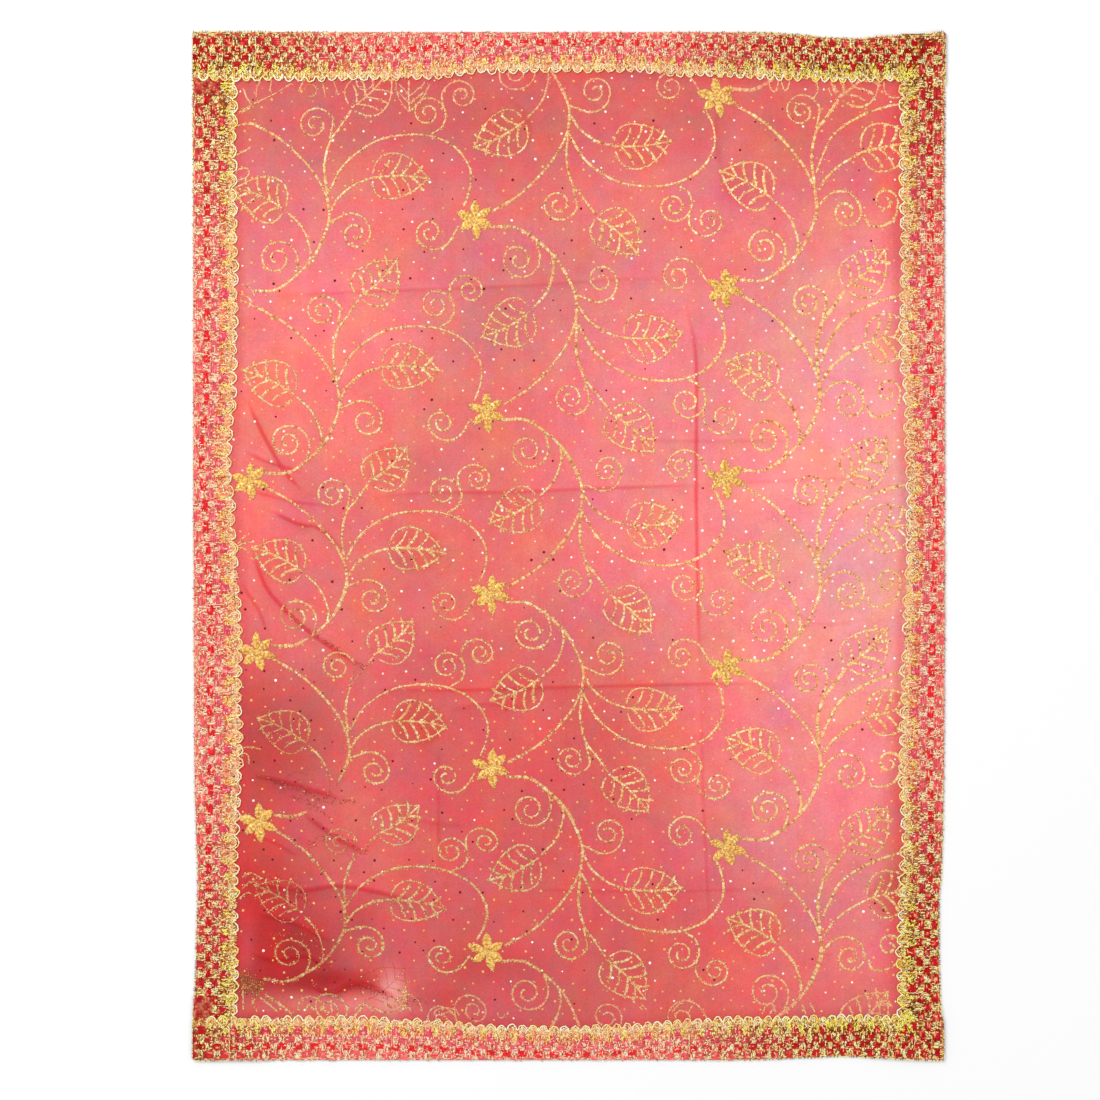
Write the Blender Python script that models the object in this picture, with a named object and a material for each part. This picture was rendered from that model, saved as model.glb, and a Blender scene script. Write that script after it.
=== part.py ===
# Sheer printed dupatta stole, laid flat: one net panel with its pressed folds and wrinkles, and the four
# lengths of scalloped woven lace that are sewn round its edge.
# Metres, +Z up, +Y towards the top border. Origin: middle of the outline, on the surface that it lies on.

import math

import bmesh
import bpy
from mathutils import Vector
from mathutils.geometry import delaunay_2d_cdt

MM = 0.001

# Driving sizes of the whole piece
STOLE_WIDTH = 752 * MM
STOLE_LENGTH = 1028 * MM
NET_WALL = 1.0 * MM
LACE_WALL = 1.0 * MM
SEAM_GAP = 0.3 * MM
FRAME_NAME = "stole_frame"
NET_FINISH = {"colour": (0.87, 0.2, 0.2), "roughness": 0.6, "metallic": 0.0}
LACE_FINISH = {"colour": (0.78, 0.36, 0.22), "roughness": 0.5, "metallic": 0.2}

# The lace: one scallop after another along its inner edge. It is pulled longer on the two long sides.
SCALLOP_PITCH = {"left": 13.7 * MM, "right": 13.7 * MM, "top": 10.3 * MM, "bottom": 10.3 * MM}
SCALLOP_DEPTH = 4 * MM
SCALLOP_STEPS = 4
LACE_END_TUCK = 2 * MM  # side lace ends this far inside the lace that crosses it
CROSSING_START = 60 * MM  # from the corner, the crossing lace is up on the side lace up to here
CROSSING_RAMP = 24 * MM  # and comes down to the net over this length

# The net reaches under the lace, to just inside the lace's outer edge
NET_UNDERLAP = 5 * MM
LACE_CLEARANCE = 3 * MM  # from the scallop tips to where the net may start to rise
NET_FLAT_BAND = 52 * MM  # width of the flat border band under the lace
NET_EDGE_STEP = 26 * MM
NET_OPEN_SPACING = 34 * MM  # between points where the net lies flat
CLOSEST_POINTS = 0.55  # of the local spacing
SAME_POINT = 0.001 * MM

# How the outer edge and the line of scallop tips wander, in mm. "along" runs along the lace, clockwise seen
# from above for the top (+X), right (-Y), bottom (-X) and left (+Y); "pulled_in" is how far the outer edge
# lies inside the nominal rectangle, and "tips" how far the scallop tips do.
EDGE_COLUMNS = ("along", "pulled_in", "tips")
EDGES = {
    "top": (
        (-376, 0.0, 50.0),
        (-180, 0.0, 49.5),
        (-140, 0.0, 48.0),
        (-95, 0.0, 42.5),
        (0, 0.0, 41.0),
        (70, 0.0, 41.5),
        (120, 0.0, 45.5),
        (195, 0.5, 48.0),
        (225, 2.5, 49.5),
        (262, 6.0, 50.5),
        (290, 7.0, 50.5),
        (316, 4.5, 50.5),
        (346, 3.5, 51.0),
        (376, 0.0, 51.0),
    ),
    "right": (
        (-514, 0.0, 48.0),
        (-430, 0.5, 47.0),
        (-320, 0.5, 46.0),
        (-196, 0.0, 47.0),
        (-146, 0.0, 42.0),
        (-66, 0.0, 40.5),
        (-13, 0.0, 39.5),
        (64, 0.0, 43.0),
        (166, 0.5, 46.0),
        (230, 1.0, 47.0),
        (281, 2.0, 44.5),
        (332, 4.0, 46.0),
        (350, 6.0, 47.0),
        (409, 6.0, 49.5),
        (447, 5.0, 48.5),
        (493, 1.5, 48.0),
        (514, 1.5, 48.0),
    ),
    "bottom": (
        (-376, 0.0, 46.0),
        (-351, 0.5, 46.0),
        (-303, 2.5, 46.5),
        (-276, 4.0, 46.5),
        (-233, 2.5, 45.0),
        (-190, 0.5, 44.5),
        (-170, 0.0, 44.0),
        (-106, 0.0, 41.0),
        (-67, 0.0, 37.5),
        (10, 0.0, 35.0),
        (74, 0.0, 36.5),
        (147, 0.0, 42.5),
        (220, 0.0, 45.0),
        (376, 0.0, 45.0),
    ),
    "left": (
        (-514, 0.0, 46.0),
        (-475, 0.0, 46.0),
        (-454, 1.5, 46.0),
        (-421, 3.0, 46.5),
        (-372, 4.0, 46.5),
        (-320, 4.5, 46.5),
        (-290, 3.0, 46.5),
        (-240, 1.5, 49.0),
        (-200, 1.0, 51.0),
        (-150, 1.0, 49.0),
        (-90, 0.5, 50.5),
        (-40, 0.5, 47.5),
        (40, 0.0, 43.0),
        (66, 0.0, 39.5),
        (100, 0.0, 39.5),
        (163, 0.0, 45.0),
        (259, 0.0, 46.0),
        (396, 0.0, 45.0),
        (514, 0.0, 46.0),
    ),
}

# Pressed folds and soft wrinkles that stand up from the net: height and half width in mm, then the points
# that the crest runs through, in mm from the origin.
CREASE_COLUMNS = ("name", "height", "half_width", "crest")
CREASES = (
    ("fold_row_1", 2.0, 5.0, ((-318, 250), (-160, 256), (-30, 260), (60, 266), (128, 266))),
    ("fold_row_2", 2.0, 5.0, ((-214, 46), (-171, 52), (-103, 53), (-16, 54), (60, 60), (150, 61))),
    ("fold_row_2_right", 1.6, 5.0, ((80, 106), (150, 105), (222, 105))),
    ("fold_row_3", 2.2, 5.0, ((-212, -142), (-122, -144), (-10, -141), (130, -138), (228, -138))),
    ("fold_row_4", 1.8, 5.0, ((20, -264), (90, -268), (118, -300), (190, -344))),
    ("fold_column_1", 2.4, 5.5, ((117, 250), (136, 107), (133, -12), (131, -140), (142, -307), (145, -344))),
    ("fold_column_2", 1.8, 5.0, ((-130, -212), (-132, -270), (-130, -330))),
    ("wrinkle_left_1", 3.6, 9.0, ((-318, 140), (-302, 101), (-279, 68), (-258, 50))),
    ("wrinkle_left_2", 2.4, 8.0, ((-322, 92), (-305, 84), (-284, 78))),
    ("wrinkle_left_3", 3.4, 9.0, ((-300, 38), (-269, 23), (-251, 19), (-226, -6))),
    ("wrinkle_left_4", 3.8, 10.0, ((-316, 6), (-305, -34), (-289, -57), (-253, -91), (-196, -126))),
    ("wrinkle_low_1", 3.8, 10.0, ((-316, -229), (-279, -236), (-258, -243), (-228, -253))),
    ("wrinkle_low_2", 3.2, 9.0, ((-268, -266), (-239, -286), (-206, -306))),
    ("wrinkle_low_3", 3.4, 9.0, ((-320, -332), (-269, -345), (-224, -341), (-140, -356))),
    ("wrinkle_low_4", 2.8, 9.0, ((-314, -366), (-270, -380), (-232, -400))),
    ("wrinkle_low_5", 4.0, 11.0, ((-262, -438), (-236, -446), (-208, -438), (-168, -452))),
    ("wrinkle_middle", 2.2, 12.0, ((-124, -166), (-84, -158), (-44, -163))),
    ("wrinkle_top_1", 2.2, 13.0, ((146, 436), (147, 375), (142, 318))),
    ("wrinkle_top_2", 2.0, 12.0, ((184, 440), (172, 398), (160, 366))),
)
CREST_STEP = 16 * MM
CREST_FADE = 22 * MM  # a crease rises to its full height over this length at each end
SOFT_HALF_WIDTH = 6 * MM  # a crease wider than this is rounded, with points half way down its sides

# Broad places where the net stands a little off the surface: middle, radii and height, in mm.
LOFT_COLUMNS = ("name", "x", "y", "radius_x", "radius_y", "height")
LOFTS = (
    ("low_left", -262, -392, 66, 62, 2.6),
    ("low_middle", 20, -410, 150, 60, 1.8),
    ("middle_left", -270, -180, 62, 50, 2.0),
    ("centre_low", -70, -240, 120, 70, 1.8),
    ("top_middle", -120, 400, 120, 66, 1.6),
    ("top_right", 130, 380, 90, 84, 1.8),
)


def rows_of(columns, table):
    return [dict(zip(columns, row)) for row in table]


def eased(share):
    """From 0 to 1 with level ends."""
    share = min(1.0, max(0.0, share))
    return share * share * (3 - 2 * share)


def edge_at(side, along, column):
    """How far inside the nominal rectangle one of a side's two lines lies, in metres."""
    rows = rows_of(EDGE_COLUMNS, EDGES[side])
    place = along / MM
    for before, after in zip(rows, rows[1:]):
        if place <= after["along"]:
            share = eased((place - before["along"]) / (after["along"] - before["along"]))
            return (before[column] + (after[column] - before[column]) * share) * MM
    return rows[-1][column] * MM


def smooth_path(points, step):
    """Points about one step apart on a curve through the given ones (Catmull-Rom)."""
    ends = [2 * points[0] - points[1], *points, 2 * points[-1] - points[-2]]
    path = []
    for a, b, c, d in zip(ends, ends[1:], ends[2:], ends[3:]):
        count = max(1, round((c - b).length / step))
        for i in range(count):
            t = i / count
            slope, bend, twist = c - a, 2 * a - 5 * b + 4 * c - d, 3 * b - a - 3 * c + d
            path.append(b + 0.5 * (slope * t + bend * t**2 + twist * t**3))
    return [*path, points[-1]]


class Crease:
    """One fold or wrinkle: a rounded ridge that follows its crest."""

    def __init__(self, name, height, half_width, crest):
        self.name = name
        self.height = height * MM
        self.half_width = half_width * MM
        self.path = smooth_path([Vector(p) * MM for p in crest], CREST_STEP)
        self.reached = [0.0]
        for a, b in zip(self.path, self.path[1:]):
            self.reached.append(self.reached[-1] + (b - a).length)

    def rise(self, place):
        """Height of the ridge over a point of the net."""
        nearest, along = self.half_width, 0.0
        for a, b, start in zip(self.path, self.path[1:], self.reached):
            span = b - a
            share = min(1.0, max(0.0, (place - a).dot(span) / span.length_squared))
            away = (a + span * share - place).length
            if away < nearest:
                nearest, along = away, start + span.length * share
        if nearest >= self.half_width:
            return 0.0
        ends = min(along, self.reached[-1] - along) / CREST_FADE
        return self.height * eased(ends) * (0.5 + 0.5 * math.cos(math.pi * nearest / self.half_width))

    def points(self):
        """Crest, shoulder and foot points, from the most to the least needed."""
        across = []
        for i, place in enumerate(self.path):
            before, after = self.path[max(0, i - 1)], self.path[min(i + 1, len(self.path) - 1)]
            across.append((place, (after - before).orthogonal().normalized()))
        soft = self.half_width > SOFT_HALF_WIDTH
        offsets = (0, 1, -1, 0.5, -0.5) if soft else (0, 1, -1)
        return [place + normal * self.half_width * share for share in offsets for place, normal in across]


def loft_rise(place):
    total = 0.0
    for row in rows_of(LOFT_COLUMNS, LOFTS):
        reach_x = (place.x / MM - row["x"]) / row["radius_x"]
        reach_y = (place.y / MM - row["y"]) / row["radius_y"]
        reach = math.hypot(reach_x, reach_y)
        if reach < 1:
            total += row["height"] * MM * (0.5 + 0.5 * math.cos(math.pi * reach))
    return total


def ring_inside(column, extra, step):
    """A closed ring that keeps one of the lace's lines company, counterclockwise from the top left."""
    half_width, half_length = STOLE_WIDTH / 2, STOLE_LENGTH / 2

    def inset(side, along):
        return edge_at(side, along, column) + extra

    left = -half_width + inset("left", half_length)
    right = half_width - inset("right", half_length)
    top = half_length - inset("top", -half_width)
    bottom = -half_length + inset("bottom", half_width)
    ring = []
    down, over = round((top - bottom) / step), round((right - left) / step)
    for i in range(down):
        y = top + (bottom - top) * i / down
        ring.append(Vector((-half_width + inset("left", y), y)))
    for i in range(over):
        x = left + (right - left) * i / over
        ring.append(Vector((x, -half_length + inset("bottom", -x))))
    for i in range(down):
        y = bottom + (top - bottom) * i / down
        ring.append(Vector((half_width - inset("right", -y), y)))
    for i in range(over):
        x = right + (left - right) * i / over
        ring.append(Vector((x, half_length - inset("top", x))))
    return ring


def net_points(creases):
    """Points and edges of the two rings, then crease points, then a sparse field where the net is flat."""
    kept, edges = [], []
    for column, extra in (("pulled_in", NET_UNDERLAP), ("tips", LACE_CLEARANCE)):
        ring = ring_inside(column, extra, NET_EDGE_STEP)
        first = len(kept)
        kept.extend(ring)
        edges.extend((first + i, first + (i + 1) % len(ring)) for i in range(len(ring)))

    def add(place, spacing):
        if all((place - other).length > spacing * CLOSEST_POINTS for other in kept):
            kept.append(place)

    for crease in creases:
        for place in crease.points():
            add(place, crease.half_width)
    reach_x, reach_y = STOLE_WIDTH / 2 - NET_FLAT_BAND, STOLE_LENGTH / 2 - NET_FLAT_BAND
    row_step = NET_OPEN_SPACING * math.sqrt(3) / 2
    for row in range(1, int(2 * reach_y / row_step)):
        y = -reach_y + row * row_step
        for column in range(1, int(2 * reach_x / NET_OPEN_SPACING)):
            x = -reach_x + (column + 0.5 * (row % 2)) * NET_OPEN_SPACING
            add(Vector((x, y)), NET_OPEN_SPACING)
    return kept, edges


def cloth_object(name, mesh_builder, wall, finish):
    """A sheet made by mesh_builder, given its wall upwards, with its own material."""
    mesh = bpy.data.meshes.new(name)
    bm = bmesh.new()
    mesh_builder(bm)
    bmesh.ops.recalc_face_normals(bm, faces=bm.faces)
    if sum(face.normal.z for face in bm.faces) < 0:
        bmesh.ops.reverse_faces(bm, faces=bm.faces)
    bm.to_mesh(mesh)
    bm.free()
    mesh.shade_smooth()
    obj = bpy.data.objects.new(name, mesh)
    bpy.context.scene.collection.objects.link(obj)
    thicken = obj.modifiers.new("Wall", "SOLIDIFY")
    thicken.thickness = wall
    thicken.offset = 1
    mesh.materials.append(cloth_material(name, **finish))
    return obj


def cloth_material(name, colour, roughness, metallic):
    material = bpy.data.materials.new(name)
    material.use_nodes = True
    shader = material.node_tree.nodes["Principled BSDF"]
    shader.inputs["Base Color"].default_value = (*colour, 1)
    shader.inputs["Roughness"].default_value = roughness
    shader.inputs["Metallic"].default_value = metallic
    return material


def net_panel():
    creases = [Crease(**row) for row in rows_of(CREASE_COLUMNS, CREASES)]
    places, edges = net_points(creases)

    def build(bm):
        inside_only = 1
        points, _, faces, *_ = delaunay_2d_cdt(places, edges, [], inside_only, SAME_POINT)
        vertices = []
        for place in points:
            rise = sum(crease.rise(place) ** 2 for crease in creases) ** 0.5 + loft_rise(place)
            vertices.append(bm.verts.new((place.x, place.y, rise)))
        for face in faces:
            bm.faces.new([vertices[i] for i in face])

    return cloth_object("net_panel", build, NET_WALL, NET_FINISH)


def crossing_rise(along, reach):
    """How much higher the crossing lace lies near a corner, where it is on top of the side lace."""
    from_corner = reach - abs(along)
    return (LACE_WALL + SEAM_GAP) * eased(1 - (from_corner - CROSSING_START) / CROSSING_RAMP)


def lace_strip(side, start, end, crosses):
    """A length of lace along local +X, its outer edge at y = 0 and its scallops towards local -Y."""
    count = round((end - start) / SCALLOP_PITCH[side])
    pitch = (end - start) / count
    reach = max(-start, end)

    def build(bm):
        def vertex(along, depth):
            rise = crossing_rise(along, reach) if crosses else 0.0
            return bm.verts.new((along, -depth, rise))

        outer, valleys = [], []
        for i in range(count + 1):
            along = start + i * pitch
            outer.append(vertex(along, edge_at(side, along, "pulled_in")))
            valleys.append(vertex(along, edge_at(side, along, "tips") - SCALLOP_DEPTH))
        for i in range(count):
            bm.faces.new((outer[i], outer[i + 1], valleys[i + 1], valleys[i]))
            arc = []
            for step in range(1, SCALLOP_STEPS):
                share = step / SCALLOP_STEPS
                along = start + (i + share) * pitch
                drop = SCALLOP_DEPTH * (1 - math.sin(math.pi * share))
                arc.append(vertex(along, edge_at(side, along, "tips") - drop))
            bm.faces.new((valleys[i], valleys[i + 1], *reversed(arc)))

    return cloth_object(f"lace_{side}", build, LACE_WALL, LACE_FINISH)


def lace_border():
    """Side laces first, then the top and bottom laces that cross over their ends."""
    half_width, half_length = STOLE_WIDTH / 2, STOLE_LENGTH / 2
    side_reach = half_length - LACE_END_TUCK
    bottom_right = half_width - edge_at("right", half_length, "pulled_in")
    seat = NET_WALL + SEAM_GAP
    columns = ("side", "start", "end", "crosses", "outer_edge", "turn")
    strips = (
        ("left", -side_reach, side_reach, False, (-half_width, 0), 90),
        ("right", -side_reach, side_reach, False, (half_width, 0), -90),
        ("top", -half_width, half_width, True, (0, half_length), 0),
        ("bottom", -bottom_right, half_width, True, (0, -half_length), 180),
    )
    for row in rows_of(columns, strips):
        strip = lace_strip(row["side"], row["start"], row["end"], row["crosses"])
        strip.location = (*row["outer_edge"], seat)
        strip.rotation_euler.z = math.radians(row["turn"])
        strip.parent = bpy.data.objects[FRAME_NAME]


def main():
    for obj in list(bpy.data.objects):
        bpy.data.objects.remove(obj)
    frame = bpy.data.objects.new(FRAME_NAME, None)
    bpy.context.scene.collection.objects.link(frame)
    net_panel().parent = frame
    lace_border()


main()
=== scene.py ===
# Sheer printed dupatta stole, laid flat: net, glitter vine print, foil spots and a woven lace border.
# Lengths are in mm from the middle of the outline, +Y towards the top lace, unless a name says metres.
import math

import bpy
import numpy as np
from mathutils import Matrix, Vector
from mathutils.bvhtree import BVHTree
from mathutils.geometry import delaunay_2d_cdt


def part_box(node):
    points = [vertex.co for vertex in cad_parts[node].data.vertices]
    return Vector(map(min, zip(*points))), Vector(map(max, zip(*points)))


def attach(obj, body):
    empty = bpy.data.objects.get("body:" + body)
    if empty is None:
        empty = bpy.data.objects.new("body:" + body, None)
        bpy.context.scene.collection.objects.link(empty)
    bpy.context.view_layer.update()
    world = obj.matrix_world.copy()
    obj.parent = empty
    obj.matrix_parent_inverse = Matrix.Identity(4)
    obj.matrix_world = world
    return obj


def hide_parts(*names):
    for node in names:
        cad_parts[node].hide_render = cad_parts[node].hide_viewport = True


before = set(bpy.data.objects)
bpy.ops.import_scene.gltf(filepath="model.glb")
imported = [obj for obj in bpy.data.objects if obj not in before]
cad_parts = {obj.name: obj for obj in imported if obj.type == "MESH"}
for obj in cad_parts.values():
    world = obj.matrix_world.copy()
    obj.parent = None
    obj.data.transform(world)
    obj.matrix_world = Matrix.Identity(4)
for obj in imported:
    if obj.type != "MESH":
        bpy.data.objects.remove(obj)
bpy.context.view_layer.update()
print("frame loaded")

mm = 0.001
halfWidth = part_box("lace_right")[1][0] / mm
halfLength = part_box("lace_top")[1][1] / mm
rng = np.random.default_rng(41)


def eased(share):
    share = np.clip(share, 0, 1)
    return share * share * (3 - 2 * share)


def ramp(value, start, over):
    # 0 up to the start, then smoothly to 1
    return eased((value - start) / over)


def linear(red, green, blue):
    return np.array([((c / 255 + 0.055) / 1.055) ** 2.4 if c > 10 else c / 3295 for c in (red, green, blue)])


def smoothPath(points, step):
    points = [np.array(p, float) for p in points]
    ends = [2 * points[0] - points[1], *points, 2 * points[-1] - points[-2]]
    path = []
    for a, b, c, d in zip(ends, ends[1:], ends[2:], ends[3:]):
        count = max(1, round(np.linalg.norm(c - b) / step))
        t = np.arange(count)[:, None] / count
        slope, bend, twist = c - a, 2 * a - 5 * b + 4 * c - d, 3 * b - a - 3 * c + d
        path.append(b + 0.5 * (slope * t + bend * t**2 + twist * t**3))
    return np.vstack([*path, points[-1]])


def lengthsAlong(path):
    return np.concatenate([[0], np.cumsum(np.linalg.norm(np.diff(path, axis=0), axis=1))])


def evenSteps(path, step):
    reach = lengthsAlong(path)
    places = np.linspace(0, reach[-1], max(2, round(reach[-1] / step)) + 1)
    return np.column_stack([np.interp(places, reach, path[:, 0]), np.interp(places, reach, path[:, 1])])


def sidewaysOf(path):
    along = np.gradient(path, axis=0)
    along /= np.maximum(np.linalg.norm(along, axis=1, keepdims=True), 1e-9)
    return np.column_stack([-along[:, 1], along[:, 0]])


# The net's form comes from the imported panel; finer creases are laid on it below.
netForm = {
    "gridStep": 2.5,
    "softening": 1.1,  # in grid steps
    "belowTop": 0.35,
    "lowest": 0.2,
    "edgeIn": 5.5,
    "marginX": 6,
    "marginY": 3,
    "pointStep": 3.25,
    "pointJitter": 0.25,
    "crowdCell": 2.0,
    "samePoint": 0.3,
    "creaseRows": (-5.2, -2.6, -1.1, 0.0, 1.1, 2.6, 5.2),
    "creaseStep": 2.2,
    "openFrom": 52,
    "openOver": 14,
    # noise layers: weight, width in grid steps, seed
    "ripples": ((0.10, 2.2, 5), (0.16, 7, 6)),
    "mottle": ((0.7, 1.2, 7), (0.8, 5, 8)),
    "clouds": ((0.55, 2.6, 9), (0.6, 6, 10)),
    "dusk": ((1, 13, 11),),
}


def blurred(grid, width):
    reach = int(3 * width)
    kernel = np.exp(-0.5 * (np.arange(-reach, reach + 1) / width) ** 2)
    kernel /= kernel.sum()
    for axis in (0, 1):
        padded = np.pad(grid, [(reach, reach) if i == axis else (0, 0) for i in (0, 1)], mode="edge")
        grid = np.apply_along_axis(lambda row: np.convolve(row, kernel, mode="valid"), axis, padded)
    return grid


def surfaceGrid(node, xs, ys):
    mesh = node.data
    tree = BVHTree.FromPolygons(
        [node.matrix_world @ v.co for v in mesh.vertices], [p.vertices[:] for p in mesh.polygons]
    )
    heights = np.full((len(ys), len(xs)), 1.0)
    down = Vector((0, 0, -1))
    for row, y in enumerate(ys):
        for column, x in enumerate(xs):
            hit = tree.ray_cast(Vector((x * mm, y * mm, 0.1)), down)[0]
            if hit is not None:
                heights[row, column] = hit.z / mm
    return heights


# Creases: height, half width, depth of the painted shade along the crease, partly the net lying doubled in
# it, then the points that the crest runs through.
fineCreases = {
    "foldRow1": (0.5, 3, 0.5, [(-320, 250), (-160, 256), (-30, 261), (60, 267), (132, 266)]),
    "foldRow2": (0.5, 3, 0.7, [(-214, 47), (-150, 53), (-60, 54), (40, 58), (160, 62)]),
    "foldRow2Right": (0.4, 3, 0.35, [(60, 106), (150, 105), (226, 106)]),
    "foldRow2Far": (0.4, 3, 0.3, [(140, 62), (230, 66), (318, 70)]),
    "foldRow3": (0.6, 3, 0.8, [(-212, -142), (-122, -144), (-10, -141), (130, -138), (228, -137)]),
    "foldRow4": (0.5, 3, 0.4, [(-60, -343), (60, -345), (140, -344), (220, -342)]),
    "foldColumn1": (0.7, 3.2, 1.1, [(111, 266), (119, 232), (127, 180), (127, 60), (129, -60), (131, -140)]),
    "foldColumn1Low": (0.5, 3, 0.5, [(131, -140), (134, -240), (138, -334), (141, -400)]),
    "foldColumn2": (0.5, 3, 0.5, [(-130, -190), (-131, -260), (-130, -330)]),
    "left1": (1.1, 3.2, 1.4, [(-324, 150), (-306, 112), (-284, 74), (-262, 52)]),
    "left2": (0.7, 3, 0.9, [(-326, 96), (-306, 86), (-282, 78), (-262, 72)]),
    "left3": (0.6, 3, 0.7, [(-328, 60), (-306, 52), (-272, 44), (-236, 40)]),
    "left4": (1.0, 3.4, 1.2, [(-304, 38), (-270, 22), (-250, 18), (-224, -6)]),
    "left5": (1.1, 3.2, 1.4, [(-320, 8), (-306, -34), (-290, -57), (-254, -90), (-196, -128)]),
    "left6": (0.7, 3, 0.8, [(-330, -34), (-312, -62), (-300, -90)]),
    "low1": (1.1, 4, 1.3, [(-320, -228), (-282, -236), (-256, -244), (-222, -254)]),
    "low2": (1.0, 4, 1.2, [(-270, -264), (-240, -286), (-208, -304), (-196, -300)]),
    "low3": (1.0, 4, 1.3, [(-326, -334), (-270, -344), (-224, -340), (-146, -356)]),
    "low4": (0.9, 4, 1.2, [(-316, -366), (-272, -378), (-234, -398)]),
    "low5": (1.3, 5, 2.0, [(-264, -438), (-238, -446), (-210, -437), (-170, -452)]),
    "low6": (0.8, 4, 1.2, [(-322, -406), (-294, -414), (-264, -410), (-236, -424)]),
    "low7": (0.6, 3, 0.7, [(-326, -286), (-296, -296), (-268, -312)]),
    "middle1": (0.5, 4, 0.5, [(-126, -166), (-84, -158), (-44, -163)]),
    "middle2": (0.4, 4, 0.35, [(-180, -262), (-140, -276), (-96, -280)]),
    "right1": (0.4, 4, 0.3, [(232, 190), (262, 168), (300, 160)]),
    "right2": (0.4, 4, 0.3, [(214, -60), (252, -78), (300, -72)]),
    "top1": (0.5, 5, 0.4, [(-60, 452), (-40, 420), (-46, 388)]),
    "top2": (0.5, 5, 0.4, [(150, 452), (146, 410), (152, 372)]),
}


def creaseRise(x, y, crest, halfWide):
    # 1 on the crest, 0 at half a width away, fading towards both ends
    path = smoothPath(crest, 6)
    reach = lengthsAlong(path)
    rise = np.zeros(x.shape)
    low, high = path.min(axis=0) - halfWide, path.max(axis=0) + halfWide
    near = (x > low[0]) & (x < high[0]) & (y > low[1]) & (y < high[1])
    px, py = x[near], y[near]
    nearest, along = np.full(px.shape, 1e9), np.zeros(px.shape)
    for a, b, start in zip(path, path[1:], reach):
        span = b - a
        length = np.linalg.norm(span)
        share = np.clip(((px - a[0]) * span[0] + (py - a[1]) * span[1]) / length**2, 0, 1)
        away = np.hypot(px - a[0] - span[0] * share, py - a[1] - span[1] * share)
        closer = away < nearest
        nearest[closer] = away[closer]
        along[closer] = start + length * share[closer]
    fade = eased(np.minimum(along, reach[-1] - along) / (0.25 * reach[-1]))
    rise[near] = fade * (0.5 + 0.5 * np.cos(math.pi * np.clip(nearest / halfWide, 0, 1)))
    return rise


def noiseGrid(shape, width, seed):
    grid = blurred(np.random.default_rng(seed).standard_normal(shape), width)
    return grid / grid.std()


def layeredNoise(name):
    return sum(weight * noiseGrid(formGrid.shape, width, seed) for weight, width, seed in netForm[name])


gridX = np.arange(-halfWidth, halfWidth + 0.1, netForm["gridStep"])
gridY = np.arange(-halfLength, halfLength + 0.1, netForm["gridStep"])
formGrid = blurred(surfaceGrid(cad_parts["net_panel"], gridX, gridY), netForm["softening"])
fromEdge = np.minimum(halfWidth - np.abs(gridX)[None, :], halfLength - np.abs(gridY)[:, None])
formGrid += ramp(fromEdge, netForm["openFrom"], netForm["openOver"]) * layeredNoise("ripples")
mottleGrid, cloudGrid, duskGrid = (layeredNoise(name) for name in ("mottle", "clouds", "dusk"))


def gridAt(grid, x, y):
    column = np.clip((np.asarray(x) - gridX[0]) / netForm["gridStep"], 0, len(gridX) - 1.001)
    row = np.clip((np.asarray(y) - gridY[0]) / netForm["gridStep"], 0, len(gridY) - 1.001)
    c, r = column.astype(int), row.astype(int)
    u, v = column - c, row - r
    low = grid[r, c] * (1 - u) + grid[r, c + 1] * u
    high = grid[r + 1, c] * (1 - u) + grid[r + 1, c + 1] * u
    return low * (1 - v) + high * v


def netTop(x, y):
    x, y = np.asarray(x, float), np.asarray(y, float)
    height = gridAt(formGrid, x, y)
    for lift, halfWide, _, crest in fineCreases.values():
        height = height + lift * creaseRise(x, y, crest, halfWide)
    return height


print("net form read from the panel")

# The lace runs round the stole: where each length starts, which way it runs, the numbered places of its
# red wedges, how far from a corner the deep colours end and the glowing ones are full (painted light and
# shade: each length is washed out and pale in its middle and deep and dark towards the corners), how bright
# each length is painted (painted light, most on the bottom and the right), and the ends whose threads stop
# on the corner's diagonal, where the right length lies on top.
sides = {
    "top": {
        "origin": (0, 1), "along": (1, 0), "inward": (0, -1),
        "wedges": ((-1, -397), (0, -365), (13, 51), (18, 201), (21, 283), (24, 367)),
        "glow": ((40, 210), (120, 310)), "level": 1.05, "mitred": ("end",), "cornerRise": 0,
    },
    "right": {
        "origin": (1, 0), "along": (0, -1), "inward": (-1, 0),
        "wedges": ((-4, -530), (0, -352), (8, -1), (14, 250), (16, 333), (19, 442), (22, 554)),
        "glow": ((10, 270), (110, 350)), "level": 1.09, "mitred": ("start", "end"), "cornerRise": 1.35,
    },
    "bottom": {
        "origin": (0, -1), "along": (-1, 0), "inward": (0, 1),
        "wedges": ((-4, -389), (0, -281), (3, -199), (8, -48), (14, 141), (21, 368), (22, 400)),
        "glow": ((110, 310), (-30, 160)), "level": 1.11, "mitred": ("start",), "cornerRise": 0,
    },
    "left": {
        "origin": (-1, 0), "along": (0, 1), "inward": (1, 0),
        "wedges": (
            (-3, -534), (0, -428), (3, -323), (4, -283), (8, -125), (11, -2), (15, 168), (19, 336), (24, 557),
        ),
        "glow": ((10, 300), (20, 270)), "level": 1.06, "mitred": (), "cornerRise": 0,
    },
}


reading = {"stations": 110, "edgeWithin": 20, "tipReach": 9, "samePlace": 0.1, "wall": 1.0}


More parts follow.
